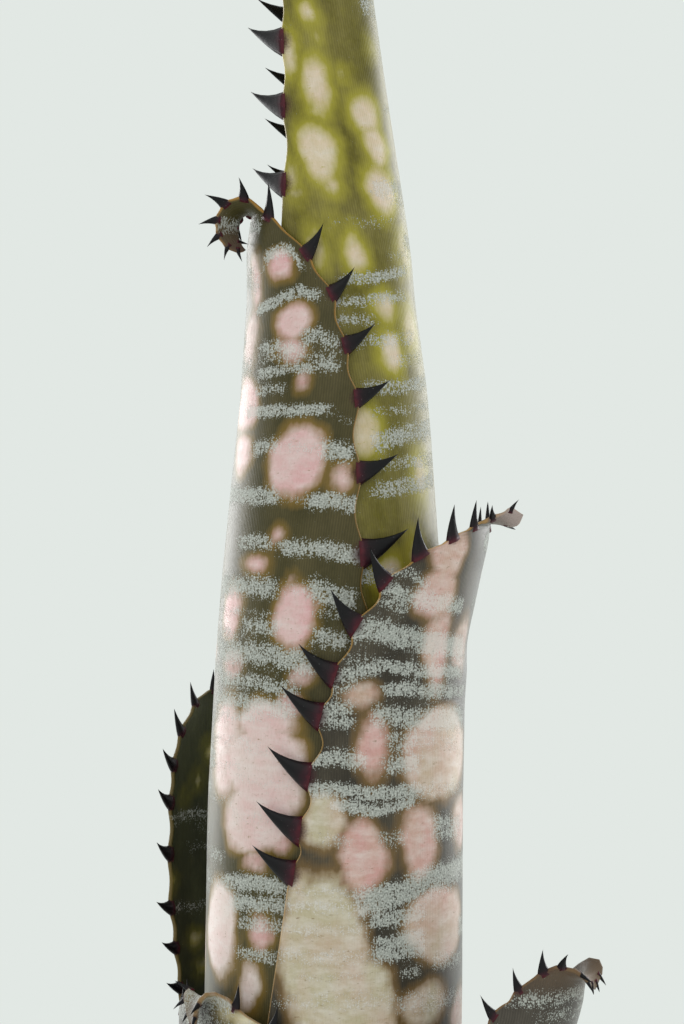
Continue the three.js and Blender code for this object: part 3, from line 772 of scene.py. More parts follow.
def wandered(across, height, seed):
    """The two coordinates, shifted smoothly by chance."""
    shifts = np.zeros((2, len(across)))
    for pitch, reach in SWINGS:
        for axis in (0, 1):
            level = seed + 5 * axis + pitch
            values = [noise.noise(Vector((a / pitch, h / pitch, level))) for a, h in zip(across, height)]
            shifts[axis] += reach * np.array(values)
    return across + shifts[0], height + shifts[1]


def spot_fields(across, height, spots, seed):
    """The spots' own field, the field of the glow round them, and how pink the nearest one is."""
    across, height = wandered(across, height, seed)
    spot, glow, pink = np.zeros_like(across), np.zeros_like(across), np.full_like(across, 0.5)
    for centre, level, wide, tall, strength, blush in spots:
        share = np.hypot((across - centre) / wide, (height - level) / tall)
        outside = (share - 1) * min(wide, tall)
        here = strength * np.clip(0.5 - outside / SPOT_EDGE, 0, 1)
        pink = np.where(here > spot, blush, pink)
        spot = np.maximum(spot, here)
        glow = np.maximum(glow, strength * np.clip(1 - outside / GLOW_REACH, 0, 1))
    return spot, glow, pink


def band_field(across, height, bands):
    """1 along the middle of a band, falling to 0 just past its edges and its ends."""
    field = np.zeros_like(across)
    for line, thickness, strength in bands:
        x, z = np.array(line, float).T
        past = np.maximum(np.maximum(x[0] - across, across - x[-1]), 0)
        off = np.abs(height - np.interp(across, x, z)) / thickness
        here = strength * np.clip(1.5 - 0.85 * off, 0, 1) * np.clip(1 - past / 2, 0, 1)
        field = np.maximum(field, here)
    return field


# %% [markdown]
# ## Growing a leaf
# A leaf's mesh starts as a flat grid. Its columns run round the section, over the outside and back
# along the inside, and its rows run from foot to tip. Each point then moves to its place on the
# blade, with the columns crowded at the margins, where the sheet is rounded off.

# %% Where the grid's columns lie
ROW_PITCH = 0.6  # millimetres between rows of points
OUTSIDE_HALF = 34  # columns from margin to midrib, outside
INSIDE_HALF = 13  # and inside
MARGIN_STEPS = np.array([0, 0.12, 0.35, 0.75, 1.4])  # the first columns' distances from the margin
FULL_STEPS_HALF = 6.0  # a narrower half width has its margin columns drawn closer
ROUND_OFF = 0.45  # millimetres over which the margin is rounded
END_THINNING = 3.0  # millimetres over which foot and tip thin out
SCALLOPS = {  # depth between two spines, as a share of their distance
    "leaf_heart": 0.05, "leaf_tall": 0.07, "leaf_left": 0.09, "leaf_right": 0.19,
    "leaf_back_left": 0.12, "leaf_low_right": 0.1, "leaf_low_left": 0.1,
}
SCALLOP_REACH = 8.0  # millimetres in from the margin where a scallop has died out
DEEPEST_SCALLOP = 0.3  # as a share of the half width


def from_margin(half, count):
    """Distances from the margin to the midrib, one row of columns for each half width."""
    steps = MARGIN_STEPS[None, :] * np.minimum(half / FULL_STEPS_HALF, 1)[:, None]
    share = np.linspace(0, 1, count - len(MARGIN_STEPS) + 2)[1:]
    rest = steps[:, -1:] + (half[:, None] - steps[:, -1:]) * share[None, :]
    return np.concatenate([steps, rest], axis=1)


def scallop_depth(blade, side, spines, depth, distance):
    """How far the margin is scooped out at each distance along the leaf."""
    along, walked = walk(blade, side)
    down = np.interp(distance, along[::-1], walked[::-1])
    feet = np.array([place for place, _ in spines], float)
    gap = np.clip(np.searchsorted(feet, down) - 1, 0, len(feet) - 2)
    width = feet[gap + 1] - feet[gap]
    share = np.clip((down - feet[gap]) / width, 0, 1)
    return depth * width * np.sin(np.pi * share) ** 2


# %% [markdown]
# Every point of the grid carries its fields with it, so that the finish knows where on the leaf it
# is: how far across and along, how near the margin, a spot, a band, a spine's foot or the dried tip.
# The spines are made in a mesh of their own and joined to the blade once.

# %% Grow the blade
FIELDS = ("across", "along", "edge", "spot", "glow", "pink", "band", "wine", "dry", "horn")
WINE_REACH = 0.6  # how far the dark foot of a spine bleeds into the blade, as a share of its length
DRY_REACH = 12.0  # millimetres of dried tip
SAME_POINT = 0.002 * MM  # points closer than this are one, as along the closing seam
FULL_SPINE = 4.8  # a spine shorter than this, in millimetres, is thinner too


def blade_points(name):
    """The blade's ring of points for every row, and its fields, as arrays of rows by columns."""
    leaf, blade = LEAVES[name], blades[name]
    rows = math.ceil(blade.length / ROW_PITCH)
    distance = np.linspace(0, blade.length, rows + 1)
    half = blade.half(distance)
    rings, edges, signs = [], [], []
    for count, face in ((OUTSIDE_HALF, 1), (INSIDE_HALF, -1)):
        inset = from_margin(half, count)
        for side_name, side in list(SIDES.items())[::face]:
            scoop = scallop_depth(blade, side, leaf[side_name], SCALLOPS[name], distance)
            scoop = np.minimum(scoop, DEEPEST_SCALLOP * half)[:, None]
            moved = inset + scoop * np.clip(1 - inset / SCALLOP_REACH, 0, 1)
            going_in = (side_name == "left") == (face == 1)
            offset, depth = side * (half[:, None] - moved), inset
            if not going_in:
                offset, depth = offset[:, ::-1], depth[:, ::-1]
            rings.append(offset[:, :-1])
            edges.append(depth[:, :-1])
            signs.append(np.full(count, face))
    rings.append(rings[0][:, :1])
    edges.append(edges[0][:, :1])
    signs.append(np.array([1]))
    return distance, np.concatenate(rings, axis=1), np.concatenate(edges, axis=1), np.concatenate(signs)


def wine_field(points, frames):
    """1 at a spine's foot, falling to 0 a little way into the blade."""
    field = np.zeros(len(points))
    for foot, _, _, length in frames:
        away = np.linalg.norm(points - np.array(foot), axis=1)
        field = np.maximum(field, np.clip(1 - away / (WINE_REACH * length), 0, 1))
    return field


def grow_leaf(name, piece_name):
    """The leaf's blade and spines as one mesh object, which stands for the measured leaf."""
    leaf, blade = LEAVES[name], blades[name]
    distance, offset, edge, face = blade_points(name)
    rows, columns = offset.shape
    place = np.repeat(distance, columns)
    points, normals = blade.at(place, offset.ravel())
    rounding = np.sqrt(np.clip(1 - (1 - np.minimum(edge / ROUND_OFF, 1)) ** 2, 0, 1))
    ends = np.clip(np.minimum(distance, blade.length - distance) / END_THINNING, 0, 1)
    lift = LEAF_THICKNESS / 2 * face * rounding * ends[:, None]
    frames = {side: spine_frames(blade, sign, leaf[side]) for side, sign in SIDES.items()}
    spots, bands = marks[name]
    spot, glow, pink = spot_fields(offset.ravel(), points[:, 2], spots, leaf["layer"])
    fields = {
        "across": offset.ravel(),
        "along": place,
        "edge": edge.ravel(),
        "spot": spot,
        "glow": glow,
        "pink": pink,
        "band": band_field(offset.ravel(), points[:, 2], bands),
        "wine": wine_field(points, frames["left"] + frames["right"]),
        "dry": np.clip(1 - (blade.length - place) / DRY_REACH, 0, 1),
        "horn": np.zeros_like(place),
    }
    points = (points + normals * lift.ravel()[:, None]) * MM
    bm = bmesh.new()
    layers = [(bm.verts.layers.float.new(field), fields[field]) for field in FIELDS]
    bmesh.ops.create_grid(bm, x_segments=columns - 1, y_segments=rows - 1, size=0.5)
    for vert in bm.verts:
        row, column = round((vert.co.y + 0.5) * (rows - 1)), round((vert.co.x + 0.5) * (columns - 1))
        index = row * columns + column
        vert.co = points[index]
        for layer, values in layers:
            vert[layer] = values[index]
    bmesh.ops.remove_doubles(bm, verts=bm.verts, dist=SAME_POINT)
    bmesh.ops.recalc_face_normals(bm, faces=bm.faces)
    bm.from_mesh(horns_mesh(frames["left"] + frames["right"]))
    return finished_piece(piece_name, mesh_from(bm, piece_name), replaces=[name])


def horns_mesh(frames):
    """A copy of the horn in each frame, all in one mesh with the second of the leaf's materials."""
    bm = bmesh.new()
    for foot, towards_tip, outwards, length in frames:
        first = len(bm.verts)
        thinner = min(1, 1 + (length - FULL_SPINE) / 8)
        bm.from_mesh(horn)
        bm.verts.ensure_lookup_table()
        columns = (
            towards_tip * length * MM,
            outwards * (length * MM + HORN_SUNK),
            towards_tip.cross(outwards).normalized() * HORN_HALF_THICKNESS * thinner,
        )
        turn = Matrix(columns).transposed().to_4x4()
        place = Matrix.Translation(foot * MM - outwards * HORN_SUNK) @ turn
        bmesh.ops.transform(bm, matrix=place, verts=bm.verts[first:])
    for face in bm.faces:
        face.material_index = 1
    return mesh_from(bm, "horns")


def finished_piece(name, mesh, replaces=(), smooth=True):
    """Puts a mesh in the scene as a piece of the object."""
    if smooth:
        mesh.shade_smooth()
    piece = add_object(name, mesh)
    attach(piece, "root")
    if replaces:
        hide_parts(*replaces)
    return piece


leaves = {name: grow_leaf(name, name.removeprefix("leaf_") + "_leaf") for name in LEAVES}
for name, piece in leaves.items():
    print(f"{piece.name}: {len(piece.data.polygons)} faces")

# %% [markdown]
# ## The leaf's skin
# The skin is built up as the real one is: green flesh with fine lengthwise veins, pale windows with a
# yellowish glow where the green is missing, then loose silver scales on top, which lie in ragged
# rows. A thin corky rim runs along the margin, and the spines' dark red bleeds into it. A painted
# picture could do this too, but a recipe stays sharp at any distance and needs no unwrapping.

# %% Leaf colours
LEAF_TONES = {
    "yellow_green": {
        "deep": tone(96, 88, 20), "light": tone(136, 126, 70), "vein": tone(84, 76, 28),
        "glow": tone(170, 160, 52), "window": tone(226, 210, 184), "blush": tone(224, 198, 182),
        "rim": tone(190, 150, 66), "dry": tone(150, 120, 74),
    },
    "pink_banded": {
        "deep": tone(62, 56, 22), "light": tone(90, 80, 48), "vein": tone(46, 42, 20),
        "glow": tone(136, 106, 44), "window": tone(222, 204, 198), "blush": tone(218, 166, 168),
        "rim": tone(190, 138, 60), "dry": tone(88, 70, 60),
    },
    "rosy_grey": {
        "deep": tone(54, 48, 38), "light": tone(86, 78, 64), "vein": tone(36, 32, 28),
        "glow": tone(128, 98, 56), "window": tone(190, 178, 150), "blush": tone(206, 158, 152),
        "rim": tone(196, 148, 68), "dry": tone(178, 160, 156),
    },
    "dark_green": {
        "deep": tone(46, 48, 18), "light": tone(74, 76, 42), "vein": tone(34, 36, 16),
        "glow": tone(110, 104, 24), "window": tone(170, 156, 48), "blush": tone(186, 172, 84),
        "rim": tone(112, 92, 50), "dry": tone(100, 80, 54),
    },
    "purple_grey": {
        "deep": tone(62, 55, 48), "light": tone(92, 85, 76), "vein": tone(44, 38, 34),
        "glow": tone(140, 124, 76), "window": tone(228, 218, 176), "blush": tone(216, 200, 172),
        "rim": tone(150, 112, 66), "dry": tone(104, 82, 62),
    },
}
SILVER_DARK, SILVER_LIGHT = tone(128, 130, 124), tone(210, 211, 205)
FROSTED = tone(230, 222, 218)  # silver scales where they lie over a pale window
WINE = tone(58, 18, 28)
DEAD_SHEATH = tone(122, 100, 70)  # the leaves' feet, dry and papery down by the mix


# %% [markdown]
# The flesh is two greens that drift into each other, with the veins drawn as a fine wavy stripe. The
# windows' edges are the fields' edges, frayed by noise.

# %% The flesh and its windows
VEIN_PITCH = 0.44  # millimetres from one vein to the next


def leaf_noise(skin, across, along, seed, detail=2.0, roughness=0.5):
    """Noise laid on the leaf, with this many swings to a millimetre across and along it."""
    place = skin.vector(skin.attribute("across") * across, skin.attribute("along") * along, seed)
    return skin.noise(place, detail=detail, roughness=roughness)


def flesh_colour(skin, tones, seed, glow_from, window_gain):
    """The colour under the scales, how much of a point is window, and the height of the veins."""
    blotch = leaf_noise(skin, 0.14, 0.07, seed, 4, 0.6)
    wobble = leaf_noise(skin, 0.2, 0.05, seed)
    vein = (skin.attribute("across") * (2 * math.pi / VEIN_PITCH) + wobble * 8).sine() * 0.5 + 0.5
    mottle = leaf_noise(skin, 2.4, 0.9, seed, 3, 0.7)
    colour = skin.mix((blotch - 0.36) * 2.8 + (mottle - 0.5) * 0.8, tones["deep"], tones["light"])
    colour = skin.mix(vein * 0.38, colour, tones["vein"])
    fray = leaf_noise(skin, 1.1, 0.5, seed, 3)
    glow = (skin.attribute("glow") - glow_from) * (1 / (1 - glow_from)) + (fray - 0.5) * 0.5
    colour = skin.mix(glow * 0.9, colour, tones["glow"])
    alive = 1 - skin.attribute("dry") * 1.4
    window_share = ((skin.attribute("spot") - 0.3 + (fray - 0.5) * 0.36) * window_gain * alive).clamped()
    flush = leaf_noise(skin, 0.15, 0.08, seed + 3, 3)
    window = skin.mix(skin.attribute("pink") + (flush - 0.5) * 1.4, tones["window"], tones["blush"])
    window = skin.mix((mottle - 0.44) * 0.6, window, tones["glow"])
    frost = leaf_noise(skin, 0.22, 0.5, seed + 6, 5, 0.68)
    window = skin.mix(((frost - 0.42) * 3.2).clamped() * 0.55, window, FROSTED)
    fleck = leaf_noise(skin, 0.7, 1.6, seed + 8, 3, 0.7)
    window_share = window_share * (1 - ((fleck - 0.62) * 9).clamped() * 0.8)
    return skin.mix(window_share, colour, window), window_share, vein


# %% [markdown]
# The scales are tiny round plates. Voronoi cells place them: each cell's middle is a plate, and the
# further into a band a point lies, the larger its plates grow, until they touch. Streaks along the
# veins and slow gusts across the leaf make the bands ragged.

# %% The silver scales
SCALE_PITCH = 0.3  # millimetres from one plate to the next


def scale_cover(skin, seed, vein, dust):
    """How far a point is covered by silver scales."""
    across, along = skin.attribute("across"), skin.attribute("along")
    plates = skin.cells(skin.vector(across * (1 / SCALE_PITCH), along * (1 / SCALE_PITCH), seed))
    streak = leaf_noise(skin, 1.9, 0.32, seed + 7, 3, 0.65)
    gust = leaf_noise(skin, 0.22, 0.5, seed + 5, 3)
    clump = leaf_noise(skin, 1.4, 1.6, seed + 9, 4, 0.7)
    thick = skin.attribute("band") + (streak - 0.5) * 1.1 + (gust - 0.5) * 0.8 + (clump - 0.5) * 0.9
    thick = thick + (vein - 0.5) * 0.16 + (dust - 0.08) + skin.attribute("spot") * 0.12
    return ((thick * 0.95 - plates) * 4.0).clamped()


# %% [markdown]
# All layers come together in one finish. The scales stand up like fine down, which a little sheen
# shows: it whitens the leaf where it turns away, as on the real plant. The tips are dried out, and the
# leaves' feet are papery.

# %% The leaf finish
FOOT_DRY = 16.0  # millimetres of dry, papery leaf foot


def leaf_finish(name, tones, seed, glow_from, window_gain=1.6, dust=0.0, down=0.4):
    skin = Finish(name, Sheen_Weight=down, Sheen_Roughness=0.3, Specular_IOR_Level=0.25)
    colour, window_share, vein = flesh_colour(skin, tones, seed, glow_from, window_gain)
    cover = scale_cover(skin, seed, vein, dust)
    grain = leaf_noise(skin, 3.1, 3.1, seed)
    silver = skin.mix((grain - 0.3) * 2.4, SILVER_DARK, SILVER_LIGHT)
    silver = skin.mix(window_share * 0.75, silver, FROSTED)
    colour = skin.mix(cover * (0.92 - window_share * 0.3), colour, silver)
    rim = (1 - skin.attribute("edge") * 2.4).clamped()
    colour = skin.mix(rim * 0.8, colour, tones["rim"])
    wine = ((skin.attribute("wine") - 0.42 + (grain - 0.5) * 0.3) * 3.0).clamped()
    colour = skin.mix(wine * 0.9, colour, WINE)
    dry = ((skin.attribute("dry") - 0.35) * 2.0 + (grain - 0.5) * 0.6).clamped()
    colour = skin.mix(dry * 0.85, colour, tones["dry"])
    sheath = ((FOOT_DRY - skin.attribute("along")) * 0.12 + (grain - 0.5)).clamped()
    colour = skin.mix(sheath * 0.9, colour, DEAD_SHEATH)
    height = cover * 0.9 + vein * 0.22 + grain * 0.1
    skin.set(Base_Color=colour, Roughness=0.42 + cover * 0.3 + dry * 0.2)
    skin.set(Normal=skin.bump(height, 0.55, 0.12 * MM))
    return skin.material


# %% [markdown]
# The spines are horn: black and glossy, dark red at the very foot, with a few pale flecks of scale.

# %% The horn finish
def horn_finish():
    horn_skin = Finish("spine_horn", Specular_IOR_Level=0.2)
    share = horn_skin.attribute("horn")
    place = horn_skin.place()
    mottle = horn_skin.noise(place, 900, detail=3)
    fleck = ((horn_skin.noise(place, 2600, detail=2) - 0.7) * 9).clamped()
    stops = [
        (0.0, tone(84, 28, 38)), (0.1, tone(52, 20, 30)), (0.22, tone(28, 18, 22)),
        (0.4, tone(16, 14, 17)), (0.93, tone(13, 12, 14)), (1.0, tone(34, 26, 22)),
    ]
    colour = horn_skin.ramp(share + (mottle - 0.5) * 0.2, stops)
    colour = horn_skin.mix(fleck * 0.5, colour, tone(150, 148, 150))
    horn_skin.set(Base_Color=colour, Roughness=0.34 + mottle * 0.16)
    horn_skin.set(Normal=horn_skin.bump(mottle, 0.3, 0.15 * MM))
    return horn_skin.material


# %% [markdown]
# The tall and young leaves share one look. The two leaves that wrap it are pink banded and rosy grey,
# the one at the back is dark green, and the two short ones are purple grey.

# %% Give the leaves their looks
LEAF_STYLES = {
    "yellow_green": {"glow_from": 0.0, "window_gain": 1.2},
    "pink_banded": {"glow_from": 0.3},
    "rosy_grey": {"glow_from": 0.3, "dust": 0.03},
    "dark_green": {"glow_from": 0.1, "dust": -0.04, "down": 0.14},
    "purple_grey": {"glow_from": 0.2, "dust": 0.12, "down": 0.25},
}
LEAF_LOOKS = {
    "leaf_heart": ("yellow_green", "leaf_yellow_green"),
    "leaf_tall": ("yellow_green", "leaf_yellow_green"),
    "leaf_left": ("pink_banded", "leaf_pink_banded"),
    "leaf_right": ("rosy_grey", "leaf_pink_banded"),
    "leaf_back_left": ("dark_green", "leaf_dark_green"),
    "leaf_low_right": ("purple_grey", "leaf_dark_green"),
    "leaf_low_left": ("purple_grey", "leaf_dark_green"),
}
NOISE_SHIFT = 5.0  # keeps each look's noise apart from the others'
skins = {}
for i, (look, tones) in enumerate(LEAF_TONES.items()):
    skins[look] = leaf_finish("skin_" + look, tones, i * NOISE_SHIFT, **LEAF_STYLES[look])
horn_material = horn_finish()
for name, (look, slot) in LEAF_LOOKS.items():
    piece = leaves[name]
    piece.data.materials.append(skins[look])
    piece.data.materials.append(horn_material)
print("leaf finishes:", ", ".join(skins))

# %% [markdown]
# ## The pot
# A plain clay pot is thrown on a wheel, so it is one outline turned about the axis: drain hole, foot,
# wall, rim band, mouth and the inside. Spinning the outline keeps every ring exactly round, and a
# small bevel gives the edges the softness of fired clay.

# %% Turn the pot
POT_OUTLINE = [  # radius and height in millimetres, from the drain hole round the outside and back in
    (6.5, 0), (39.5, 0), (41, 1.5), (55, 81), (58.8, 82), (60, 83.2), (60, 104.5), (58.5, 106),
    (55, 106), (54, 104.5), (50, 82), (37.7, 10), (34.7, 7), (6.5, 7),
]
POT_STEPS = 128
POT_BEVEL = 0.45  # millimetres
RING_TOLERANCE = 1e-5  # metres


def turned(outline, steps):
    """A closed outline of radii and heights, spun once round the Z axis into a closed skin."""
    bm = bmesh.new()
    corners = [bm.verts.new((radius * MM, 0, height * MM)) for radius, height in outline]
    edges = [bm.edges.new((corners[i - 1], corner)) for i, corner in enumerate(corners)]
    bmesh.ops.spin(
        bm, geom=corners + edges, cent=(0, 0, 0), axis=(0, 0, 1),
        angle=2 * math.pi, steps=steps, use_merge=True,
    )
    bmesh.ops.recalc_face_normals(bm, faces=bm.faces)
    return bm


def is_in_ring(edge):
    """Whether both ends of an edge have one height and one radius."""
    first, second = (corner.co for corner in edge.verts)
    sunk, inwards = abs(first.z - second.z), abs(first.xy.length - second.xy.length)
    return max(sunk, inwards) < RING_TOLERANCE


pot_skin = turned(POT_OUTLINE, POT_STEPS)
rings = [edge for edge in pot_skin.edges if is_in_ring(edge)]
bmesh.ops.bevel(
    pot_skin, geom=rings, offset=POT_BEVEL * MM, segments=3, profile=0.5, affect="EDGES", material=-1,
)
pot = finished_piece("clay_pot", mesh_from(pot_skin, "clay_pot"), replaces=("pot",))
pot.modifiers.new("even_shading", "WEIGHTED_NORMAL")
print(f"pot: {len(pot.data.polygons)} faces, {pot.dimensions.x / MM:.1f} mm across")

# %% [markdown]
# Fired clay is matt and blotched. Water seeps through the wall and leaves a pale mineral bloom where
# it dries, most of it below the rim band, and the foot stays dark where it is damp. The wheel leaves
# fine level lines.

# %% The clay finish
def clay_finish():
    clay = Finish("terracotta", Specular_IOR_Level=0.2)
    place = clay.place()
    height = clay.height()
    cloud = clay.noise(place, 34, detail=5, roughness=0.6)
    patch = clay.noise(place, 90, detail=6, roughness=0.7)
    grit = clay.noise(place, 1500, detail=3)
    stops = [
        (0.25, tone(150, 82, 56)), (0.45, tone(178, 101, 70)), (0.6, tone(190, 115, 82)),
        (0.8, tone(205, 136, 102)),
    ]
    colour = clay.ramp(cloud * 0.6 + grit * 0.4, stops)
    under_rim = 1 - ((height - 74) * (1 / 30)).absolute().clamped()
    bloom = ((patch - 0.5) * 5 + under_rim * 0.8 - 0.4 + (cloud - 0.5) * 3).clamped()
    colour = clay.mix(bloom * 0.5, colour, tone(214, 196, 178))
    damp = (1 - (height - 14 - (cloud - 0.5) * 44) * 0.07).clamped()
    colour = clay.mix(damp * 0.5, colour, tone(98, 60, 42))
    lines = clay.noise(clay.vector(0, 0, height), 1.6, detail=3)
    clay.set(Base_Color=colour, Roughness=0.93 - damp * 0.2 - grit * 0.06)
    clay.set(Normal=clay.bump(lines * 0.6 + grit * 0.4 + bloom * 0.15, 0.35, 0.35 * MM))
    return clay.material


pot.data.materials.append(clay_finish())

# %% [markdown]
# ## The potting mix
# The plant stands in a coarse mix of peat, bark and perlite. The hidden body of the mix stays as
# measured. Its surface is a thin round mat on top, lumpy from below: broad swells, and small crumbs
# that come from the distance to scattered points. The mat covers the very feet of the leaves.

# %% Lay the surface of the mix
MAT_RADIUS = 51.5  # millimetres, just inside the pot's wall
MAT_UNDERSIDE = 91.3
MAT_LEVEL = 92.75  # the height that the surface varies about
MAT_RINGS = 56
MAT_SPOKES = 176


def mat_height(x, y):
    """Height of the crumbly surface, in millimetres."""
    swell = noise.noise(Vector((x * 0.07, y * 0.07, 3.0)))
    nearest = noise.voronoi(Vector((x * 0.42, y * 0.42, 1.0)))[0][0]
    fine = noise.noise(Vector((x * 0.9, y * 0.9, 7.0)))
    return MAT_LEVEL + 0.7 * swell + 0.9 * max(0.0, 0.55 - nearest) + 0.22 * fine


def spread_mat():
    bm = bmesh.new()
    bmesh.ops.create_circle(bm, cap_ends=True, cap_tris=True, segments=MAT_SPOKES, radius=MAT_RADIUS * MM)
    spokes = [edge for edge in bm.edges if min(v.co.length for v in edge.verts) < TINY]
    bmesh.ops.subdivide_edges(bm, edges=spokes, cuts=MAT_RINGS - 1, use_grid_fill=True)
    rim = [edge for edge in bm.edges if edge.is_boundary]
    lowered = bmesh.ops.extrude_edge_only(bm, edges=rim)["geom"]
    hem = [part for part in lowered if isinstance(part, bmesh.types.BMVert)]
    for vert in bm.verts:
        vert.co.z = mat_height(vert.co.x / MM, vert.co.y / MM) * MM
    for vert in hem:
        vert.co.z = MAT_UNDERSIDE * MM
    bmesh.ops.holes_fill(bm, edges=[edge for edge in bm.edges if edge.is_boundary], sides=0)
    bmesh.ops.recalc_face_normals(bm, faces=bm.faces)
    return mesh_from(bm, "mix_surface")


mat = finished_piece("mix_surface", spread_mat())
print("mix surface:", len(mat.data.polygons), "faces, rises to", round(mat.bound_box[1][2] / MM, 1), "mm")

# %% [markdown]
# Loose on the mat lie small bits of bark and white grains of perlite. One bit is a cube cut once and
# pulled out of shape, flattened for bark and left round for perlite, so that it costs only two dozen
# faces. Chance with a fixed seed turns it, sizes it and drops it outside the leaves' feet.

# %% Scatter the loose bits
BIT_GROUPS = {
    "bark_bits": {"count": 190, "size": (1.6, 4.2), "flat": (0.28, 0.5), "wide": (0.5, 0.9)},
    "perlite_grains": {"count": 70, "size": (0.9, 1.9), "flat": (0.7, 1.0), "wide": (0.8, 1.0)},
}
BITS_FROM, BITS_TO = 22, 49  # millimetres from the axis
BIT_TILT = 0.22  # how far a bit usually leans, in radians


def bit_shape(chance, length, wide, flat):
    """One bit: a bmesh of 24 faces, round its own middle."""
    bm = bmesh.new()
    bmesh.ops.create_cube(bm, size=1.0)
    bmesh.ops.subdivide_edges(bm, edges=bm.edges[:], cuts=1, use_grid_fill=True)
    for vert in bm.verts:
        rounded = vert.co.normalized() * 0.55
        vert.co = vert.co.lerp(rounded, 0.65) * chance.uniform(0.86, 1.14)
        vert.co = Vector((vert.co.x * length, vert.co.y * length * wide, vert.co.z * length * flat))
    return bm


def scatter_bits(name, group, seed):
    chance = random.Random(seed)
    heap = bmesh.new()
    for _ in range(group["count"]):
        length = chance.uniform(*group["size"])
        bit = bit_shape(chance, length, chance.uniform(*group["wide"]), chance.uniform(*group["flat"]))
        radius = math.sqrt(chance.uniform(BITS_FROM**2, BITS_TO**2))
        angle = chance.uniform(0, 2 * math.pi)
        x, y = radius * math.cos(angle), radius * math.sin(angle)
        tilt = Matrix.Rotation(chance.gauss(0, BIT_TILT), 4, "X")
        tilt = tilt @ Matrix.Rotation(chance.gauss(0, BIT_TILT), 4, "Y")
        place = Matrix.Translation((x, y, mat_height(x, y) + length * 0.1))
        place = place @ Matrix.Rotation(chance.uniform(0, 2 * math.pi), 4, "Z") @ tilt
        bmesh.ops.transform(bit, matrix=Matrix.Scale(MM, 4) @ place, verts=bit.verts)
        bit_mesh = mesh_from(bit, "bit")
        heap.from_mesh(bit_mesh)
        bpy.data.meshes.remove(bit_mesh)
    bmesh.ops.recalc_face_normals(heap, faces=heap.faces)
    return finished_piece(name, mesh_from(heap, name), smooth=name == "perlite_grains")


bits = {}
for seed, (name, group) in enumerate(BIT_GROUPS.items(), FIRST_SEED):
    bits[name] = scatter_bits(name, group, seed)
for name, piece in bits.items():
    print(f"{name}: {BIT_GROUPS[name]['count']} bits, {len(piece.data.polygons)} faces")

# %% [markdown]
# ## The larger bark pieces
# Twelve pieces lie where the measured ones lie. A piece of bark is a slab with a broken outline and
# thin layers that step back along its sides. A cut-up cube is rounded, its sides are stepped layer by
# layer, and the slab is turned and then fitted to the measured piece's box.

# %% Shape the bark pieces
BARK_PIECES = 12
BARK_LAYERS = 5
BARK_CUTS = 9
BARK_SEED = 40


def bark_slab(number):
    """A slab with a broken outline, two units wide, long and thick, as a bmesh."""
    chance = random.Random(BARK_SEED + number)
    bm = bmesh.new()
    bmesh.ops.create_cube(bm, size=2.0)
    bmesh.ops.subdivide_edges(bm, edges=bm.edges[:], cuts=BARK_CUTS, use_grid_fill=True)
    shift = Vector((chance.uniform(0, 50), chance.uniform(0, 50), 0))
    steps = [chance.uniform(0.82, 1.06) for _ in range(BARK_LAYERS + 1)]
    for vert in bm.verts:
        x, y, z = vert.co
        reach = max(abs(x), abs(y))
        bearing = Vector((x, y, 0)).normalized() if reach > 0 else Vector((0, 0, 0))
        outline = 1 + 0.22 * noise.noise(bearing * 1.3 + shift)
        layer = steps[round((z + 1) / 2 * BARK_LAYERS)]
        roundness = reach / max(math.hypot(x, y), TINY)
        grow = outline * (1 - reach + reach * layer) * (1 + (roundness - 1) * 0.75)
        relief = 0.16 * noise.noise(Vector((x * 1.2, y * 4.5, z)) + shift)
        vert.co = Vector((x * grow, y * grow, z * (1 - 0.25 * reach**3) + relief * abs(z)))
    return bm


def make_bark_piece(number):
    """One piece of bark, turned as the measured one is and fitted to its box."""
    name = f"bark_chip_{number + 1:02d}"
    low, high = (Vector(corner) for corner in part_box(name))
    outer = number % 2
    length, width = 6 + 1.6 * math.sin(3.1 * number), 4.2 + 1.1 * math.cos(2.3 * number)
    turn = number * math.pi / 6 + 0.35 * outer + 1.9 * number
    slab = bark_slab(number)
    stretch = Matrix.Rotation(turn, 4, "Z") @ Matrix.Diagonal((length, width, 2.1, 1))
    bmesh.ops.transform(slab, matrix=stretch, verts=slab.verts)
    corners = np.array([vert.co[:] for vert in slab.verts])
    least, most = Vector(corners.min(axis=0)), Vector(corners.max(axis=0))
    for vert in slab.verts:
        share = [(vert.co[k] - least[k]) / (most[k] - least[k]) for k in range(3)]
        vert.co = Vector([low[k] + (high[k] - low[k]) * share[k] for k in range(3)])
    bmesh.ops.recalc_face_normals(slab, faces=slab.faces)
    piece_name = name.replace("chip", "piece")
    return finished_piece(piece_name, mesh_from(slab, piece_name), replaces=(name,))


bark_pieces = [make_bark_piece(number) for number in range(BARK_PIECES)]
print("bark pieces:", len(bark_pieces), "of", len(bark_pieces[0].data.polygons), "faces each")

# %% [markdown]
# Bark is red-brown in layers, dark in its furrows and greyer where it has weathered. The mix is dark
# peat with light fibres. Perlite is white, dusted with peat.

# %% The bark, mix and perlite finishes
def bark_finish():
    bark = Finish("bark", Specular_IOR_Level=0.25)
    place = bark.place()
    layers = bark.node("ShaderNodeMapping", None, {"Vector": place, "Scale": (220, 220, 1500)})
    grain = bark.noise(layers, 1.0, detail=5, roughness=0.65)
    weather = bark.noise(place, 130, detail=3)
    stops = [
        (0.3, tone(38, 24, 17)), (0.45, tone(84, 50, 32)), (0.58, tone(122, 74, 46)),
        (0.75, tone(158, 108, 72)),
    ]
    colour = bark.mix(((weather - 0.5) * 6).clamped() * 0.5, bark.ramp(grain, stops), tone(112, 98, 84))
    bark.set(Base_Color=colour, Roughness=0.95 - grain * 0.2)
    bark.set(Normal=bark.bump(grain, 0.7, 0.6 * MM))
    return bark.material


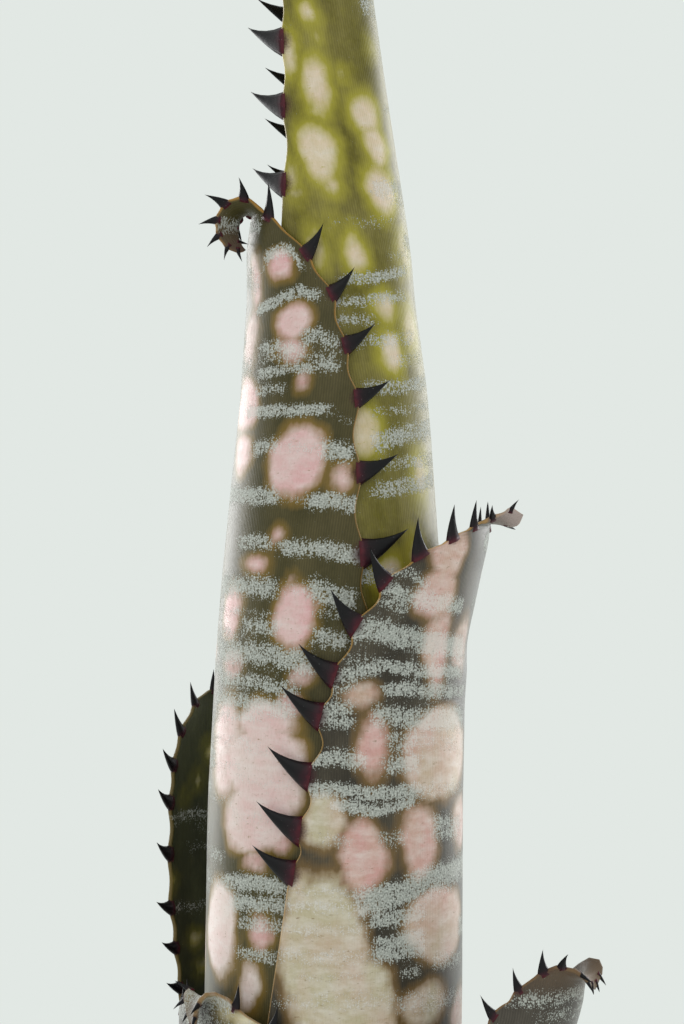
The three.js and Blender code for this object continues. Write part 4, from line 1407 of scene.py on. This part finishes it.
def mix_finish():
    peat = Finish("potting_mix", Specular_IOR_Level=0.2)
    place = peat.place()
    crumbs = peat.noise(place, 520, detail=5, roughness=0.7)
    fibres = peat.node("ShaderNodeMapping", None, {"Vector": place, "Scale": (300, 2400, 900)})
    fibre = ((peat.noise(fibres, 1.0, detail=2) - 0.64) * 12).clamped()
    stops = [(0.3, tone(22, 15, 11)), (0.5, tone(50, 35, 25)), (0.7, tone(88, 64, 45))]
    colour = peat.mix(fibre * 0.5, peat.ramp(crumbs, stops), tone(140, 112, 78))
    peat.set(Base_Color=colour, Roughness=0.97 - fibre * 0.15)
    peat.set(Normal=peat.bump(crumbs, 0.8, 0.7 * MM))
    return peat.material


def perlite_finish():
    grain = Finish("perlite", Specular_IOR_Level=0.3)
    place = grain.place()
    pits = grain.cells(place, 2600)
    dirt = ((grain.noise(place, 420, detail=4) - 0.52) * 6).clamped()
    colour = grain.mix(pits * 0.4, tone(236, 233, 226), tone(196, 190, 180))
    grain.set(Base_Color=grain.mix(dirt * 0.6, colour, tone(120, 98, 76)), Roughness=0.9 - dirt * 0.1)
    grain.set(Normal=grain.bump(pits, 0.6, 0.25 * MM))
    return grain.material


bark_material, mix_material = bark_finish(), mix_finish()
for piece in [*bark_pieces, bits["bark_bits"]]:
    piece.data.materials.append(bark_material)
mat.data.materials.append(mix_material)
bits["perlite_grains"].data.materials.append(perlite_finish())

# %% [markdown]
# The body of the mix and the stem with its roots lie hidden, and keep their measured shapes. They
# still get true finishes: the mix the same peat, and the stem a woody brown with scars in rings where
# old leaves sat.

# %% The stem finish and the hidden nodes
def stem_finish():
    wood = Finish("stem_and_roots", Specular_IOR_Level=0.25)
    place = wood.place()
    height = wood.height()
    scars = (height * 1.9 + wood.noise(place, 150, detail=3) * 4).sine() * 0.5 + 0.5
    bark = wood.noise(place, 420, detail=4)
    stops = [
        (0.1, tone(58, 40, 26)), (0.4, tone(104, 76, 48)), (0.7, tone(142, 112, 74)),
        (0.95, tone(170, 144, 104)),
    ]
    wood.set(Base_Color=wood.ramp(scars * 0.45 + bark * 0.55, stops), Roughness=0.9 - bark * 0.2)
    wood.set(Normal=wood.bump(scars * 0.6 + bark * 0.4, 0.5, 0.4 * MM))
    return wood.material


for name, material in {"potting_mix": mix_material, "stem_and_roots": stem_finish()}.items():
    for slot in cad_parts[name].material_slots:
        slot.material = material
print("hidden nodes finished: potting_mix, stem_and_roots")

# %% [markdown]
# ## Floor, light and camera
# The plant stands in a light tent: pale all round, with two big soft lights behind it on both sides,
# which whiten its edges, and a weaker one in front. The floor is a pale disc that fades into the
# background, so that no horizon shows.

# %% The stage
PALE = tone(226, 232, 228)
FLOOR_RADIUS = 0.9
FADE_FROM = 0.4  # how far from the middle the floor begins to fade
LAMP_AIM = Vector((0, 0, 0.24))  # where the lamps point, a little over halfway up
SENSOR_WIDTH, FOCAL_LENGTH = 36, 87.9  # the camera's, in millimetres


def make_floor():
    bm = bmesh.new()
    bmesh.ops.create_circle(bm, cap_ends=True, segments=96, radius=FLOOR_RADIUS)
    floor = add_object("floor", mesh_from(bm, "floor"))
    paint = Finish("pale_floor", Base_Color=PALE, Roughness=0.6)
    away = paint.node("ShaderNodeVectorMath", {"operation": "LENGTH"}, {0: paint.place()}, output="Value")
    fade = ((away - FADE_FROM) * 2.2).clamped()
    clear = paint.node("ShaderNodeBsdfTransparent")
    painted = Wire(paint, paint.shader.outputs[0])
    both = paint.node("ShaderNodeMixShader", None, {0: fade, 1: painted, 2: clear})
    output = next(node for node in paint.tree.nodes if node.type == "OUTPUT_MATERIAL")
    paint.tree.links.new(both.socket, output.inputs["Surface"])
    floor.data.materials.append(paint.material)


def make_light(name, place, size, power):
    lamp = bpy.data.lights.new(name, "AREA")
    lamp.shape, lamp.size, lamp.energy = "DISK", size, power
    light = add_object(name, lamp)
    light.location = place
    light.rotation_euler = (LAMP_AIM - Vector(place)).to_track_quat("-Z", "Y").to_euler()


def make_world():
    world = bpy.data.worlds.new("light_tent")
    world.use_nodes = True
    background = world.node_tree.nodes["Background"]
    background.inputs["Color"].default_value = PALE
    background.inputs["Strength"].default_value = 1.0
    bpy.context.scene.world = world


def make_camera():
    lens = bpy.data.cameras.new("camera")
    lens.sensor_width, lens.lens = SENSOR_WIDTH, FOCAL_LENGTH
    lens.clip_start, lens.clip_end = 0.01, 20
    camera = add_object("camera", lens)
    camera.location = EYE * MM
    camera.rotation_euler = (math.pi / 2, 0, 0)
    bpy.context.scene.camera = camera


make_floor()
make_world()
make_light("tent_left", (-0.75, 0.75, 0.45), 0.8, 9)
make_light("tent_right", (0.75, 0.75, 0.45), 0.8, 7)
make_light("tent_front", (-0.2, -1.0, 0.9), 0.9, 1.5)
make_camera()
bpy.context.scene.view_settings.view_transform = "Standard"
